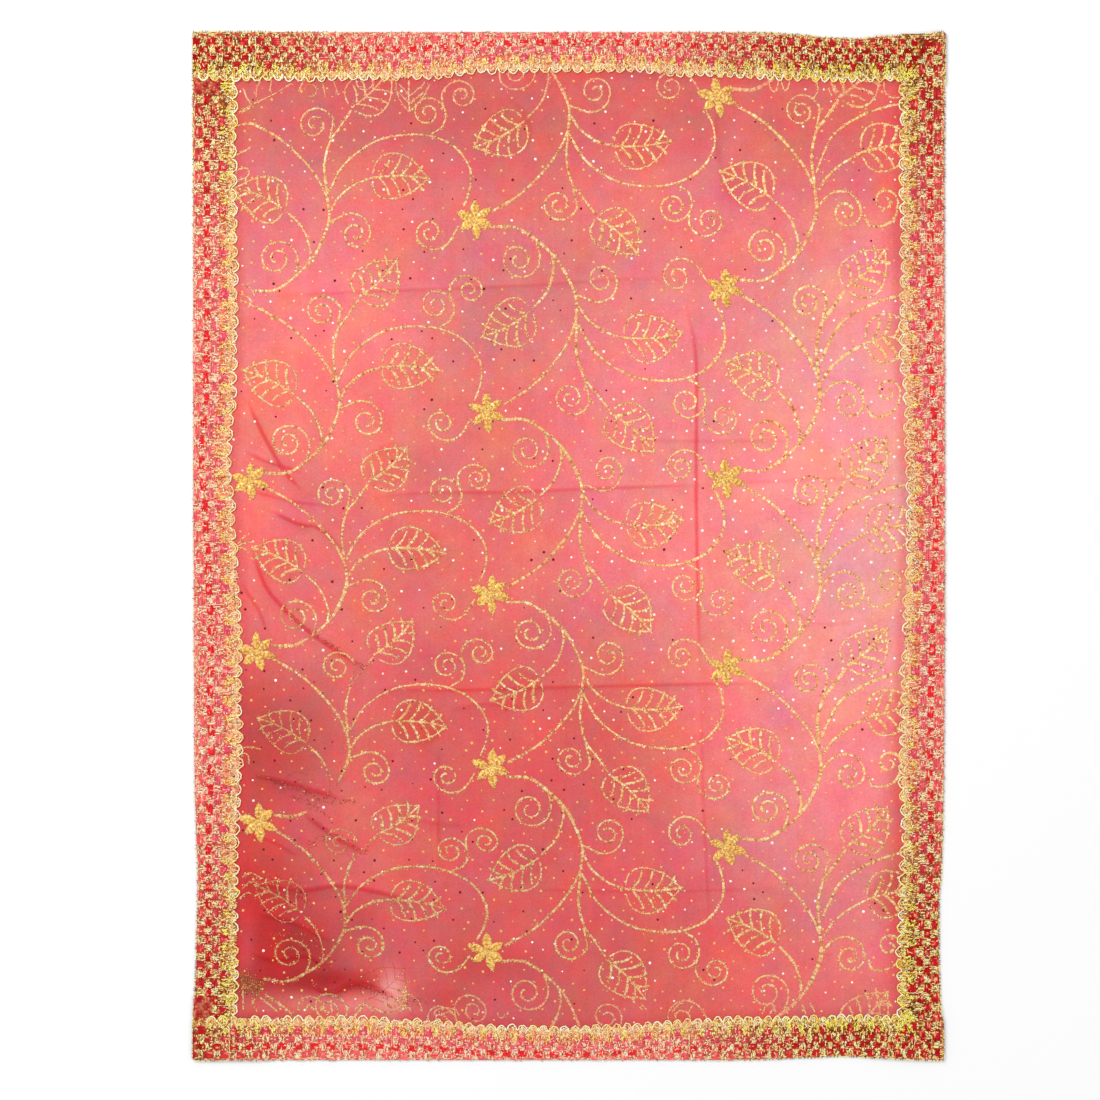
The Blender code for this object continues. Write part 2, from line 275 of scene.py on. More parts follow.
def readSide(name, side):
    # the wandering outer edge and line of scallop tips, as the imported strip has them
    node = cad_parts["lace_" + name]
    points = np.array([(node.matrix_world @ v.co)[:] for v in node.data.vertices]) / mm
    side["corner"] = np.array(side["origin"]) * (halfWidth, halfLength)
    side["along"], side["inward"] = np.array(side["along"], float), np.array(side["inward"], float)
    along = points[:, :2] @ side["along"]
    depth = (points[:, :2] - side["corner"]) @ side["inward"]
    side["start"], side["end"] = along.min(), along.max()
    side["stations"] = np.linspace(along.min(), along.max(), reading["stations"])
    edge = np.where(depth < reading["edgeWithin"])[0]
    edge = edge[np.argsort(along[edge])]
    side["outer"] = np.interp(side["stations"], along[edge], depth[edge])
    places = np.unique(np.round(along[edge], 1))
    samePlace = reading["samePlace"]
    tops = np.array([points[edge[np.abs(along[edge] - place) < samePlace], 2].max() for place in places])
    side["base"] = np.interp(side["stations"], places, tops) - reading["wall"]
    near = np.abs(along[None, :] - side["stations"][:, None]) < reading["tipReach"]
    side["tips"] = np.array([depth[row].max() for row in near])


for name, side in sides.items():
    readSide(name, side)


def tipsAt(side, along):
    return np.interp(along, side["stations"], side["tips"])


def laceWidth(side, along):
    return tipsAt(side, along) - np.interp(along, side["stations"], side["outer"])


def lacePoint(side, along, back, lift):
    # back: outwards from the line of scallop tips; lift: above the strip's underside
    along, back, lift = np.broadcast_arrays(along, back, lift)
    depth = tipsAt(side, along) - back
    place = side["corner"] + along[..., None] * side["along"] + depth[..., None] * side["inward"]
    height = np.interp(along, side["stations"], side["base"]) + lift
    return np.concatenate([place, height[..., None]], axis=-1)


def underLace(x, y):
    # how far a point of the net lies outwards from the scallop tips (negative: open net)
    deepest = np.full(np.shape(x), -1e9)
    for side in sides.values():
        place = np.stack([x, y], axis=-1)
        back = tipsAt(side, place @ side["along"]) - (place - side["corner"]) @ side["inward"]
        deepest = np.maximum(deepest, back)
    return deepest


class Pile:
    # many small shapes for one mesh, with a colour on each point
    def __init__(self):
        self.points, self.faces, self.shades, self.count = [], [], [], 0

    def add(self, points, faces, shades):
        points = np.asarray(points, float).reshape(-1, 3)
        self.points.append(points)
        self.faces.append(np.asarray(faces) + self.count)
        self.shades.append(np.broadcast_to(np.asarray(shades, float), (len(points), 3)))
        self.count += len(points)

    def build(self, name, material, onNet=False):
        points, shades = np.vstack(self.points), np.vstack(self.shades)
        if onNet:
            points[:, 2] += netTop(points[:, 0], points[:, 1]) - netForm["belowTop"]
        points = points * mm
        corners = np.concatenate([f.ravel() for f in self.faces])
        sizes = np.concatenate([np.full(len(f), f.shape[1]) for f in self.faces])
        mesh = bpy.data.meshes.new(name)
        mesh.vertices.add(len(points))
        mesh.vertices.foreach_set("co", points.ravel())
        mesh.loops.add(len(corners))
        mesh.loops.foreach_set("vertex_index", corners.astype(np.int32))
        mesh.polygons.add(len(sizes))
        mesh.polygons.foreach_set("loop_start", np.concatenate([[0], np.cumsum(sizes)[:-1]]).astype(np.int32))
        mesh.update(calc_edges=True)
        mesh.validate()
        layer = mesh.attributes.new("shade", "FLOAT_COLOR", "POINT")
        layer.data.foreach_set("color", np.column_stack([shades, np.ones(len(shades))]).ravel())
        mesh.shade_smooth()
        mesh.materials.append(material)
        piece = bpy.data.objects.new(name, mesh)
        bpy.context.scene.collection.objects.link(piece)
        print(name, len(mesh.polygons), "faces", int((sizes - 2).sum()), "triangles")
        return piece


def sweep(pile, rows, shades):
    # rows: threads x steps x points across x 3, joined into strips
    threads, steps, across = rows.shape[:3]
    at = np.arange(threads * steps * across).reshape(threads, steps, across)
    corners = (at[:, :-1, :-1], at[:, :-1, 1:], at[:, 1:, 1:], at[:, 1:, :-1])
    faces = np.stack(corners, axis=-1).reshape(-1, 4)
    shades = np.asarray(shades, float)
    if shades.ndim == 2:
        shades = shades[:, None, :]
    full = np.broadcast_to(shades[:, :, None, :], (threads, steps, across, 3))
    pile.add(rows.reshape(-1, 3), faces, full.reshape(-1, 3))


def newMaterial(name, roughness, metallic=0.0, sheen=0.0, specular=0.5):
    material = bpy.data.materials.new(name)
    material.use_nodes = True
    shader = material.node_tree.nodes["Principled BSDF"]
    shader.inputs["Roughness"].default_value = roughness
    shader.inputs["Metallic"].default_value = metallic
    shader.inputs["Sheen Weight"].default_value = sheen
    shader.inputs["Specular IOR Level"].default_value = specular
    return material, shader, material.node_tree.nodes, material.node_tree.links


def noiseNode(nodes, links, scale, detail, stretch=(1, 1, 1), turn=0.0):
    where = nodes.new("ShaderNodeTexCoord")
    place = nodes.new("ShaderNodeMapping")
    place.inputs["Scale"].default_value = stretch
    place.inputs["Rotation"].default_value = (0, 0, turn)
    noise = nodes.new("ShaderNodeTexNoise")
    noise.inputs["Scale"].default_value = scale
    noise.inputs["Detail"].default_value = detail
    links.new(where.outputs["Object"], place.inputs["Vector"])
    links.new(place.outputs["Vector"], noise.inputs["Vector"])
    return noise.outputs["Fac"]


def threadNode(nodes, links, scale, turn):
    where = nodes.new("ShaderNodeTexCoord")
    place = nodes.new("ShaderNodeMapping")
    place.inputs["Rotation"].default_value = (0, 0, turn)
    wave = nodes.new("ShaderNodeTexWave")
    wave.inputs["Scale"].default_value = scale
    wave.inputs["Distortion"].default_value = 0.6
    wave.inputs["Detail Scale"].default_value = 2.0
    links.new(where.outputs["Object"], place.inputs["Vector"])
    links.new(place.outputs["Vector"], wave.inputs["Vector"])
    return wave.outputs["Fac"]


def mathNode(nodes, links, kind, first, second):
    node = nodes.new("ShaderNodeMath")
    node.operation = kind
    for socket, value in zip(node.inputs, (first, second)):
        if isinstance(value, (int, float)):
            socket.default_value = value
        else:
            links.new(value, socket)
    return node.outputs[0]


def rangeNode(nodes, links, value, low, high, newLow, newHigh):
    node = nodes.new("ShaderNodeMapRange")
    for socket, number in zip(("From Min", "From Max", "To Min", "To Max"), (low, high, newLow, newHigh)):
        node.inputs[socket].default_value = number
    links.new(value, node.inputs["Value"])
    return node.outputs["Result"]


def tintNode(nodes, links, colour, factor, tint, blend):
    node = nodes.new("ShaderNodeMix")
    node.data_type = "RGBA"
    node.blend_type = blend
    if isinstance(factor, (int, float)):
        node.inputs["Factor"].default_value = factor
    else:
        links.new(factor, node.inputs["Factor"])
    links.new(colour, node.inputs["A"])
    if isinstance(tint, tuple):
        node.inputs["B"].default_value = (*tint, 1)
    else:
        links.new(tint, node.inputs["B"])
    return node.outputs["Result"]


def shadeNode(nodes):
    node = nodes.new("ShaderNodeAttribute")
    node.attribute_name = "shade"
    return node.outputs["Color"]


def bumpNode(nodes, links, shader, height, strength, distance):
    bump = nodes.new("ShaderNodeBump")
    bump.inputs["Strength"].default_value = strength
    bump.inputs["Distance"].default_value = distance
    links.new(height, bump.inputs["Height"])
    links.new(bump.outputs["Normal"], shader.inputs["Normal"])


def colourFrom(nodes, links, shader, colour, level):
    tone = nodes.new("ShaderNodeVectorMath")
    tone.operation = "SCALE"
    links.new(colour, tone.inputs[0])
    links.new(level, tone.inputs["Scale"])
    links.new(tone.outputs[0], shader.inputs["Base Color"])


def sheerNetMaterial(name, alpha):
    material, shader, nodes, links = newMaterial(name, roughness=0.62, sheen=0.08, specular=0.2)
    shader.inputs["Alpha"].default_value = alpha
    shader.inputs["Sheen Roughness"].default_value = 0.4
    base = shadeNode(nodes)
    blotch = noiseNode(nodes, links, scale=46, detail=3)
    blotch = rangeNode(nodes, links, blotch, 0.35, 0.68, 0.0, 0.5)
    base = tintNode(nodes, links, base, blotch, (0.93, 0.27, 0.29), "SOFT_LIGHT")
    grain = noiseNode(nodes, links, scale=560, detail=3)
    grain = rangeNode(nodes, links, grain, 0.34, 0.66, 0.92, 1.08)
    streak = noiseNode(nodes, links, scale=260, detail=2, stretch=(1, 0.05, 1))
    streak = rangeNode(nodes, links, streak, 0.3, 0.7, 0.98, 1.02)
    warp = threadNode(nodes, links, scale=480, turn=math.radians(45))
    weft = threadNode(nodes, links, scale=480, turn=math.radians(-45))
    weave = mathNode(nodes, links, "MULTIPLY", warp, weft)
    holes = rangeNode(nodes, links, weave, 0.0, 0.7, 0.94, 1.05)
    level = mathNode(nodes, links, "MULTIPLY", mathNode(nodes, links, "MULTIPLY", grain, streak), holes)
    colourFrom(nodes, links, shader, base, level)
    bumpNode(nodes, links, shader, weave, strength=0.25, distance=0.0002)
    return material


def glitterMaterial(name, roughness, metallic, specular):
    material, shader, nodes, links = newMaterial(name, roughness, metallic, specular=specular)
    speck = noiseNode(nodes, links, scale=900, detail=2)
    speck = rangeNode(nodes, links, speck, 0.3, 0.7, 0.62, 1.3)
    colourFrom(nodes, links, shader, shadeNode(nodes), speck)
    grit = noiseNode(nodes, links, scale=1100, detail=2)
    bumpNode(nodes, links, shader, grit, strength=0.7, distance=0.0004)
    return material


def threadMaterial(name, roughness, metallic, specular):
    material, shader, nodes, links = newMaterial(name, roughness, metallic, specular=specular)
    twist = threadNode(nodes, links, scale=700, turn=math.radians(32))
    fuzz = noiseNode(nodes, links, scale=600, detail=2)
    level = rangeNode(nodes, links, mathNode(nodes, links, "ADD", twist, fuzz), 0.5, 1.5, 0.8, 1.16)
    colourFrom(nodes, links, shader, shadeNode(nodes), level)
    bumpNode(nodes, links, shader, twist, strength=0.4, distance=0.0002)
    return material


sheerNet = sheerNetMaterial("sheerNet", alpha=0.99)
sheerFlap = sheerNetMaterial("sheerFlap", alpha=0.7)
glitterPrint = glitterMaterial("glitterPrint", roughness=0.42, metallic=0.15, specular=0.5)
foilSpot = glitterMaterial("foilSpot", roughness=0.3, metallic=0.0, specular=0.2)
laceThread = threadMaterial("laceThread", roughness=0.45, metallic=0.0, specular=0.15)
laceGroundAndShade = threadMaterial("laceGroundAndShade", roughness=0.7, metallic=0.0, specular=0.08)
print("materials made")

# Soft tones of the laid net: middle, radii, weight, colour; the ones noted below are painted shade.
netTones = {
    "ground": (0, 0, 2000, 2000, 0.3, linear(220, 108, 108)),
    "topBand": (-40, 440, 340, 58, 1.7, linear(200, 98, 93)),
    "topCorner": (290, 420, 90, 80, 2.3, linear(204, 88, 88)),
    "upperBand": (-60, 330, 330, 50, 1.1, linear(224, 116, 112)),
    "topRight": (150, 330, 130, 110, 1.2, linear(234, 130, 130)),
    "rightLight": (300, 30, 100, 320, 1.9, linear(254, 168, 165)),
    "middleRight": (90, 100, 90, 150, 1.5, linear(250, 144, 144)),
    "centre": (-30, 30, 110, 200, 0.9, linear(224, 119, 114)),
    "leftTop": (-240, 250, 110, 110, 1.3, linear(242, 134, 132)),
    "leftMiddle": (-290, 90, 80, 90, 1.0, linear(230, 126, 115)),
    "leftDark": (-308, -200, 60, 66, 1.9, linear(184, 56, 52)),
    "leftLow": (-240, -100, 90, 80, 0.9, linear(226, 114, 112)),
    "leftLower": (-222, -285, 66, 90, 1.0, linear(228, 112, 110)),
    # painted shade among the wrinkles at the lower left, partly the net lying doubled there
    "lowLeft": (-314, -410, 64, 84, 3.6, linear(178, 18, 18)),
    "low": (0, -420, 270, 90, 1.7, linear(206, 92, 92)),
    "lowMiddle": (-70, -200, 150, 90, 1.7, linear(208, 90, 88)),
    "rightLow": (290, -300, 90, 130, 1.6, linear(246, 126, 128)),
    "lowRight": (200, -450, 130, 60, 1.0, linear(222, 110, 108)),
    "rightMiddle": (180, -120, 90, 150, 1.0, linear(242, 138, 136)),
    # painted shadow on the net beside the right lace
    "rightLaceShadowTop": (328, 360, 12, 100, 2.6, linear(222, 100, 88)),
    "rightLaceShadowLow": (328, -320, 12, 100, 3.6, linear(212, 84, 74)),
    "lowHem": (-258, -461, 88, 14, 3.0, linear(242, 138, 132)),
    "lowHemSpot": (-178, -448, 10, 17, 3.8, linear(255, 180, 168)),
    # the fold tones here are painted shade in the folds at the lower left
    "lowFoldShadow": (-240, -436, 34, 8.5, 8.0, linear(172, 0, 4)),
    "cornerFoldShade": (-274, -406, 30, 24, 2.4, linear(176, 16, 6)),
    "cornerStrip": (-322, -402, 8, 26, 2.4, linear(216, 104, 112)),
    "leafFoldShade": (-211, -372, 18, 16, 1.4, linear(190, 40, 46)),
    "lowMiddleFoldShade": (-79, -416, 42, 17, 1.6, linear(186, 52, 50)),
    "lowBase": (-128, -454, 24, 12, 1.6, linear(184, 50, 36)),
}
netColour = {
    "creaseShadeTint": np.array([0.9, 0.28, 0.36]), "creaseShadeStrength": 0.8, "creaseShadeMost": 0.9,
    "cloudTint": np.array([-0.01, -0.055, 0.075]), "duskTint": np.array([-0.07, 0.02, 0.035]),
    # the colour beside the lace: painted shadow of the lace on the net, partly the doubled hem
    "hemShadow": linear(206, 66, 70), "hemStrength": 0.38, "hemShadowReach": 8, "mottle": 0.03,
    "overall": np.array([0.95, 0.965, 0.96]),
}


def netShade(x, y):
    weights, total = np.zeros(x.shape), np.zeros((*x.shape, 3))
    for middleX, middleY, radiusX, radiusY, weight, colour in netTones.values():
        pull = weight * np.exp(-(((x - middleX) / radiusX) ** 2) - ((y - middleY) / radiusY) ** 2)
        weights += pull
        total += pull[..., None] * colour
    shade = total / weights[..., None]
    # painted shade along each crease, partly the net lying doubled in it
    dark = np.zeros(x.shape)
    for _, halfWide, depth, crest in fineCreases.values():
        dark += depth * creaseRise(x, y, crest, halfWide)
    look = netColour
    dark = np.clip(look["creaseShadeStrength"] * dark, 0, look["creaseShadeMost"])[..., None]
    shade = shade * (1 - dark + look["creaseShadeTint"] * dark)
    # rosier and warmer clouds, dusky and bright stretches, and beside the lace a painted shadow, partly the
    # doubled hem there
    shade = shade * (1 + gridAt(cloudGrid, x, y)[..., None] * look["cloudTint"])
    shade = shade * (1 + gridAt(duskGrid, x, y)[..., None] * look["duskTint"])
    hemShadow = look["hemStrength"] * eased(1 - np.abs(underLace(x, y) + 1) / look["hemShadowReach"])[..., None]
    shade = shade * (1 - hemShadow) + look["hemShadow"] * hemShadow
    level = 1 + look["mottle"] * gridAt(mottleGrid, x, y)
    return shade * leafDepth(x, y) * level[..., None] * look["overall"]


def netSheet():
    step = netForm["pointStep"]
    inset = netForm["edgeIn"]
    reachX, reachY = halfWidth - inset - netForm["marginX"], halfLength - inset - netForm["marginY"]
    crestPoints = []
    for _, halfWide, _, crest in fineCreases.values():
        path = evenSteps(smoothPath(crest, 4), netForm["creaseStep"])
        across = sidewaysOf(path)
        crestPoints.extend(path + across * row * halfWide / 3 for row in netForm["creaseRows"])
    crestPoints = np.vstack(crestPoints)
    columns = np.arange(-reachX, reachX + 0.1, 2 * reachX / round(2 * reachX / step))
    rows = np.arange(-reachY, reachY + 0.1, 2 * reachY / round(2 * reachY / step))
    field = np.stack(np.meshgrid(columns, rows), axis=-1)
    jitter = netForm["pointJitter"]
    field[1:-1, 1:-1] += rng.uniform(-jitter, jitter, field[1:-1, 1:-1].shape) * step
    # leave out field points that crowd a crease
    cell = netForm["crowdCell"]
    taken = set(map(tuple, np.floor(crestPoints / cell).astype(int)))
    field = field.reshape(-1, 2)
    free = np.array([tuple(c) not in taken for c in np.floor(field / cell).astype(int)])
    places = np.vstack([field[free], crestPoints])
    wholeHull = 0
    points = [Vector(p) for p in places]
    vertices, _, faces, *_ = delaunay_2d_cdt(points, [], [], wholeHull, netForm["samePoint"])
    flat = np.array([v[:] for v in vertices])
    # the hem keeps the lace's wandering edge company
    for side in sides.values():
        along, depth = flat @ side["along"], (flat - side["corner"]) @ side["inward"]
        limit = np.interp(along, side["stations"], side["outer"]) + inset
        short = np.maximum(limit - depth, 0)
        flat += short[:, None] * side["inward"]
    height = np.maximum(netTop(flat[:, 0], flat[:, 1]) - netForm["belowTop"], netForm["lowest"])
    shades = netShade(flat[:, 0], flat[:, 1])
    pile = Pile()
    pile.add(np.column_stack([flat, height]), np.array([f[:] for f in faces]), shades)
    return pile.build("netPanel", sheerNet)


# Two narrow flaps of net lie over the left lace, beside the top and the bottom lace.
flapShape = {
    "columns": 25, "rows": 17, "height": 2.85, "wander": 0.3,
    "squares": (2.1, 2.4), "speckAbove": 0.8, "brightness": (0.8, 1.15),
    "flaps": ((-374.5, -349, 452, 468), (-375.5, -357, -472, -451)),
    "deep": linear(178, 16, 24), "pale": linear(206, 78, 74), "speck": linear(238, 190, 110),
}


def netFlaps():
    pile = Pile()
    shape = flapShape
    for left, right, low, high in shape["flaps"]:
        x, y = np.meshgrid(np.linspace(left, right, shape["columns"]), np.linspace(low, high, shape["rows"]))
        # the free edge wanders
        x = x + rng.normal(0, shape["wander"], x.shape)
        y = y + rng.normal(0, shape["wander"], y.shape)
        sizeX, sizeY = shape["squares"]
        square = np.clip(0.5 + 1.5 * np.cos(x / sizeX) * np.cos(y / sizeY), 0, 1)[..., None]
        shade = shape["pale"] + (shape["deep"] - shape["pale"]) * square
        speck = rng.random((*x.shape, 1))
        shade = np.where((speck > shape["speckAbove"]) & (square < 0.6), shape["speck"], shade)
        sweep(pile, np.stack([x, y, np.full(x.shape, shape["height"])], axis=-1)[None], np.zeros((1, 3)))
        pile.shades[-1] = (shade * rng.uniform(*shape["brightness"], (*x.shape, 1))).reshape(-1, 3)
    return pile.build("netFlaps", sheerFlap)


# One repeat of the vine runs from a flower at (0, 0) to one on the right at (over, rise), and the next flower
# of its own column is at (0, up). Each repeat is fitted to its own three flowers.
vineRepeat = {"over": 240, "rise": 67, "up": 184}
vineStems = {
    "trunk": (3.0, [(15, 8), (38, 8), (58, 20), (76, 37), (87, 56), (94, 76), (93, 97)]),
    "backStem": (2.5, [(93, 97), (83, 118), (67, 139), (45, 160), (17, 177)]),
    "upStem": (2.5, [(93, 100), (91, 128), (97, 152), (106, 164), (120, 183)]),
    "rightLeafStem": (2.3, [(96, 83), (104, 96), (120, 108), (138, 114)]),
    "leftLeafStem": (2.3, [(72, 31), (74, 46), (67, 68), (52, 85)]),
    "longCurve": (2.2, [(94, 101), (110, 128), (140, 149), (172, 155), (199, 152), (222, 140), (236, 119),
                        (236, 98), (229, 80)]),
}
vineLeaves = {  # base, tip, sideways bow of the midrib
    "upLeaf": ((120, 185), (160, 222), -3.0),
    "rightLeaf": ((138, 114), (194, 110), 2.5),
    "leftLeaf": ((50, 87), (1, 112), -3.0),
}
vineSpirals = {  # lead-in points, centre, outer radius, turning way (1 counterclockwise)
    "upSpiral": ([(97, 155), (101, 173)], (82, 171), 16.5, 1),
    "rightSpiral": ([(93, 72), (103, 76)], (120, 59), 17.5, -1),
    "leftSpiral": ([(57, 18), (60, 28)], (40, 39), 19, 1),
    "longSpiral1": ([(199, 154), (209, 160)], (196, 176), 17, 1),
    "longSpiral2": ([(212, 180), (211, 192)], (231, 191), 15, -1),
}
# the vine right of the right column carries its curve, leaf and spiral higher
farVine = {
    "rightLeafStem": (2.3, [(97, 95), (103, 105), (112, 114), (121, 121), (140, 132)]),
    "longCurve": (2.2, [(95, 112), (101, 126), (113, 148), (135, 164), (165, 176), (190, 180)]),
    "rightLeaf": ((140, 132), (196, 142), 1.5),
    "rightSpiral": ([(96, 80), (104, 89)], (123, 74), 17.5, -1),
}
# short pieces of print along the turned hem at the top and the bottom, and beside the left lace
hemMarks = (
    [(-327, 436), (-307, 446), (-291, 454), (-277, 463)],
    [(-313, 449), (-312, 458), (-308, 467)],
    [(-299, 454), (-298, 462), (-297, 469)],
    [(-270, 454), (-267, 462), (-263, 468)],
    [(-265, 456), (-262, 461), (-256, 461), (-252, 456), (-255, 450), (-261, 450)],
    [(-244, 448), (-245, 458), (-247, 466)],
    [(-231, 450), (-233, 458), (-236, 467)],
    [(-213, 467), (-211, 459), (-204, 456), (-197, 460), (-195, 467)],
    [(-159, 434), (-160, 446), (-160, 466)],
    [(-159, 442), (-171, 454)],
    [(-159, 450), (-170, 462)],
    [(-159, 442), (-145, 454)],
    [(-159, 450), (-144, 463)],
    [(-173, 466), (-172, 454), (-167, 443), (-160, 434)],
    [(-139, 462), (-145, 450), (-153, 440), (-160, 434)],
    [(199, 468), (202, 457), (207, 455), (210, 467)],
    [(212, 467), (215, 456), (219, 458), (221, 467)],
    [(247, 466), (249, 456), (245, 448)],
    [(263, 462), (269, 454)],
    [(271, 464), (277, 456)],
    [(259, 458), (263, 450)],
    [(315, 466), (316, 454), (324, 448), (333, 450)],
    [(-313, -448), (-303, -456), (-291, -466)],
    [(-317, -454), (-312, -466)],
    [(-271, -464), (-269, -455), (-259, -450), (-249, -456), (-248, -466)],
    [(-263, -464), (-260, -458), (-255, -464)],
    [(-238, -458), (-237, -467)],
    [(-214, -464), (-207, -458), (-199, -462), (-197, -467)],
    [(-163, -444), (-163, -466)],
    [(-175, -464), (-173, -454), (-165, -448)],
    [(-147, -464), (-151, -454), (-161, -448)],
    [(-169, -466), (-165, -460), (-161, -460), (-157, -466)],
    [(-135, -470), (-133, -464), (-123, -462), (-113, -464), (-110, -470)],
    [(-129, -470), (-121, -466), (-114, -470)],
    [(-72, -466), (-69, -472), (-64, -470), (-60, -465)],
    [(71, -464), (73, -459), (78, -464)],
    [(103, -466), (109, -459), (115, -457)],
    [(119, -468), (123, -460)],
    [(193, -468), (197, -460), (203, -458), (207, -466)],
    [(201, -468), (204, -463), (206, -468)],
    [(214, -458), (219, -468)],
    [(233, -458), (237, -468)],
    [(241, -457), (246, -466)],
    [(311, -468), (311, -458), (319, -455), (324, -462)],
    [(-331, 2), (-325, 9), (-318, 13)],
    [(-331, 0), (-324, 3), (-316, 4)],
    [(-330, -2), (-324, -3), (-320, -8)],
    [(-335, -212), (-329, -204), (-320, -201), (-308, -203)],
    [(-330, -212), (-325, -207), (-320, -211), (-320, -219)],
    [(-327, -331), (-318, -327), (-306, -333)],
    [(-327, -343), (-319, -336), (-311, -337)],
    [(-330, -353), (-323, -347), (-316, -348)],
    [(-328, 252), (-322, 250), (-318, 244), (-321, 238)],
    [(-329, 246), (-321, 243), (-311, 237)],
    [(-333, 420), (-325, 422), (-317, 422)],
    [(-328, 262), (-319, 258), (-314, 250)],
    [(-334, 390), (-326, 394), (-318, 399)],
    [(-334, 374), (-326, 378), (-320, 376), (-322, 369), (-332, 366)],
    [(-328, 334), (-325, 340), (-318, 334), (-312, 326)],
    [(-326, 458), (-322, 448), (-318, 441), (-322, 436), (-330, 434)],
    [(-345, 466), (-345, 456), (-338, 450), (-330, 454)],
    [(-352, 464), (-347, 457), (-341, 455)],
    [(-344, -456), (-340, -449), (-334, -451), (-332, -462)],
    [(-326, -440), (-326, -464)],
)
flowerSpiral = ([(-17, -6), (-24, -18)], (-46, -11), 16, -1)  # from the right flower
farSpiral = ([(141, 72), (145, 62)], (162, 85), 15, 1)  # right column only
spiralShape = {"turns": 1.8, "flowerTurns": 1.75, "farTurns": 1.6, "width": 1.9, "coiling": 0.82}
leafShape = {  # places and reaches are shares of the leaf's length and of its half width
    "half": 0.395, "ribWidth": 2.3, "outlineWidth": 1.6, "veinWidth": 2.2,
    "rib": (0, 0.25, 0.5, 0.75, 1.0, 1.05),
    "outline": (
        (0.01, 0.2), (0.08, 0.68), (0.22, 0.97), (0.40, 1.02), (0.60, 0.88), (0.80, 0.54), (0.93, 0.2),
    ),
    "veins": ((0.12, 0.86), (0.32, 0.94), (0.52, 0.84), (0.71, 0.58)),
}
flowerColumns = {
    "left": [(-337, 430), (-331, 246), (-319, 65), (-312, -106), (-310, -276), (-321, -438), (-318, -622)],
    "middle": [(-96, 511), (-94, 327), (-82, 134), (-78, -48), (-78, -222), (-82, -406), (-84, -590)],
    "right": [(146, 636), (148, 449), (156, 258), (157, 68), (157, -122), (158, -301), (158, -485),
              (158, -669)],
    "far": [(386, 703), (388, 516), (396, 325), (397, 135), (397, -55), (398, -234), (398, -418),
            (398, -602)],
}
printShape = {
    "step": 1.5, "lift": 0.12, "crown": 0.35, "outTo": 4, "dulledLow": 0.13,
    "wobble": 0.13, "widthNoise": 0.28, "slowSteps": 9, "slowRange": (0.72, 1.12), "endShare": 0.4,
    "palette": [
        (250, 196, 130), (242, 172, 104), (254, 216, 138), (224, 138, 84), (255, 240, 192), (194, 104, 58),
    ],
    "paletteShares": (0.24, 0.22, 0.14, 0.17, 0.10, 0.13), "brightness": (0.9, 1.06),
    "hemFrom": 432, "hemFaint": 0.5, "faintColour": (232, 132, 112),
    "veilStrength": 0.75, "veilColour": (186, 88, 58), "dimTint": np.array([0.5, 0.9, 1.2]),
    "grainStep": 0.95, "grainSize": (0.7, 1.5), "grainSpread": 1.5, "grainLift": 0.3,
    "grainPalette": [
        (255, 232, 120), (255, 244, 200), (248, 204, 114), (224, 152, 80), (204, 126, 64), (250, 204, 148),
    ],
    "hemWidth": 1.7, "hemStrength": (0.6, 0.9), "vineStrength": (0.76, 0.98),
}
printPalette = np.array([linear(*c) for c in printShape["palette"]])
grainPalette = np.array([linear(*c) for c in printShape["grainPalette"]])


def spiralPoints(lead, centre, radius, way, turns):
    lead, centre = [np.array(p, float) for p in lead], np.array(centre, float)
    arm = lead[-1] - centre
    angle = math.atan2(arm[1], arm[0])
    first = np.linalg.norm(arm)
    steps = np.linspace(0, 1, 30)
    angles = angle + way * turns * 2 * math.pi * steps
    radii = radius + (first - radius) * np.clip(1 - 6 * steps, 0, 1)
    radii = radii * (1 - spiralShape["coiling"] * steps**1.05)
    coil = centre + np.column_stack([np.cos(angles), np.sin(angles)]) * radii[:, None]
    return [*lead[:-1], *coil]


def leafLines(base, tip, bow):
    base, tip = np.array(base, float), np.array(tip, float)
    length = np.linalg.norm(tip - base)
    axis = (tip - base) / length
    across = np.array([-axis[1], axis[0]])

    def at(along, side):
        return base + axis * along * length + across * (side + bow * math.sin(math.pi * along))

    half = leafShape["half"] * length
    lines = [(leafShape["ribWidth"], [at(along, 0) for along in leafShape["rib"]])]
    for way in (1, -1):
        outline = [at(along, reach * half * way) for along, reach in leafShape["outline"]]
        lines.append((leafShape["outlineWidth"], [*outline, at(1.02, 0.02 * way)]))
        for share, reach in leafShape["veins"]:
            start, finish = at(share, 0), at(share + 0.2, reach * half * way)
            middle = at(share + 0.14, 0.52 * reach * half * way)
            lines.append((leafShape["veinWidth"], [start, middle, finish]))
    return lines


def vineLines(withFarSpiral):
    def own(table):
        return [farVine.get(name, row) if withFarSpiral else row for name, row in table.items()]

    lines = own(vineStems)
    over, rise = vineRepeat["over"], vineRepeat["rise"]
    lead, centre, radius, way = flowerSpiral
    atFlower = [(x + over, y + rise) for x, y in lead], (centre[0] + over, centre[1] + rise), radius, way
    spirals = [(*row, spiralShape["turns"]) for row in own(vineSpirals)]
    spirals.append((*atFlower, spiralShape["flowerTurns"]))
    if withFarSpiral:
        spirals.append((*farSpiral, spiralShape["farTurns"]))
    lines.extend((spiralShape["width"], spiralPoints(*spiral)) for spiral in spirals)
    for base, tip, bow in own(vineLeaves):
        lines.extend(leafLines(base, tip, bow))
    return lines


def fitted(points, left, right, previous):
    left, right, previous = (np.array(p, float) for p in (left, right, previous))
    up = (previous - left) / vineRepeat["up"]
    over = (right - left - vineRepeat["rise"] * up) / vineRepeat["over"]
    points = np.array(points, float)
    return left + points[:, :1] * over + points[:, 1:] * up


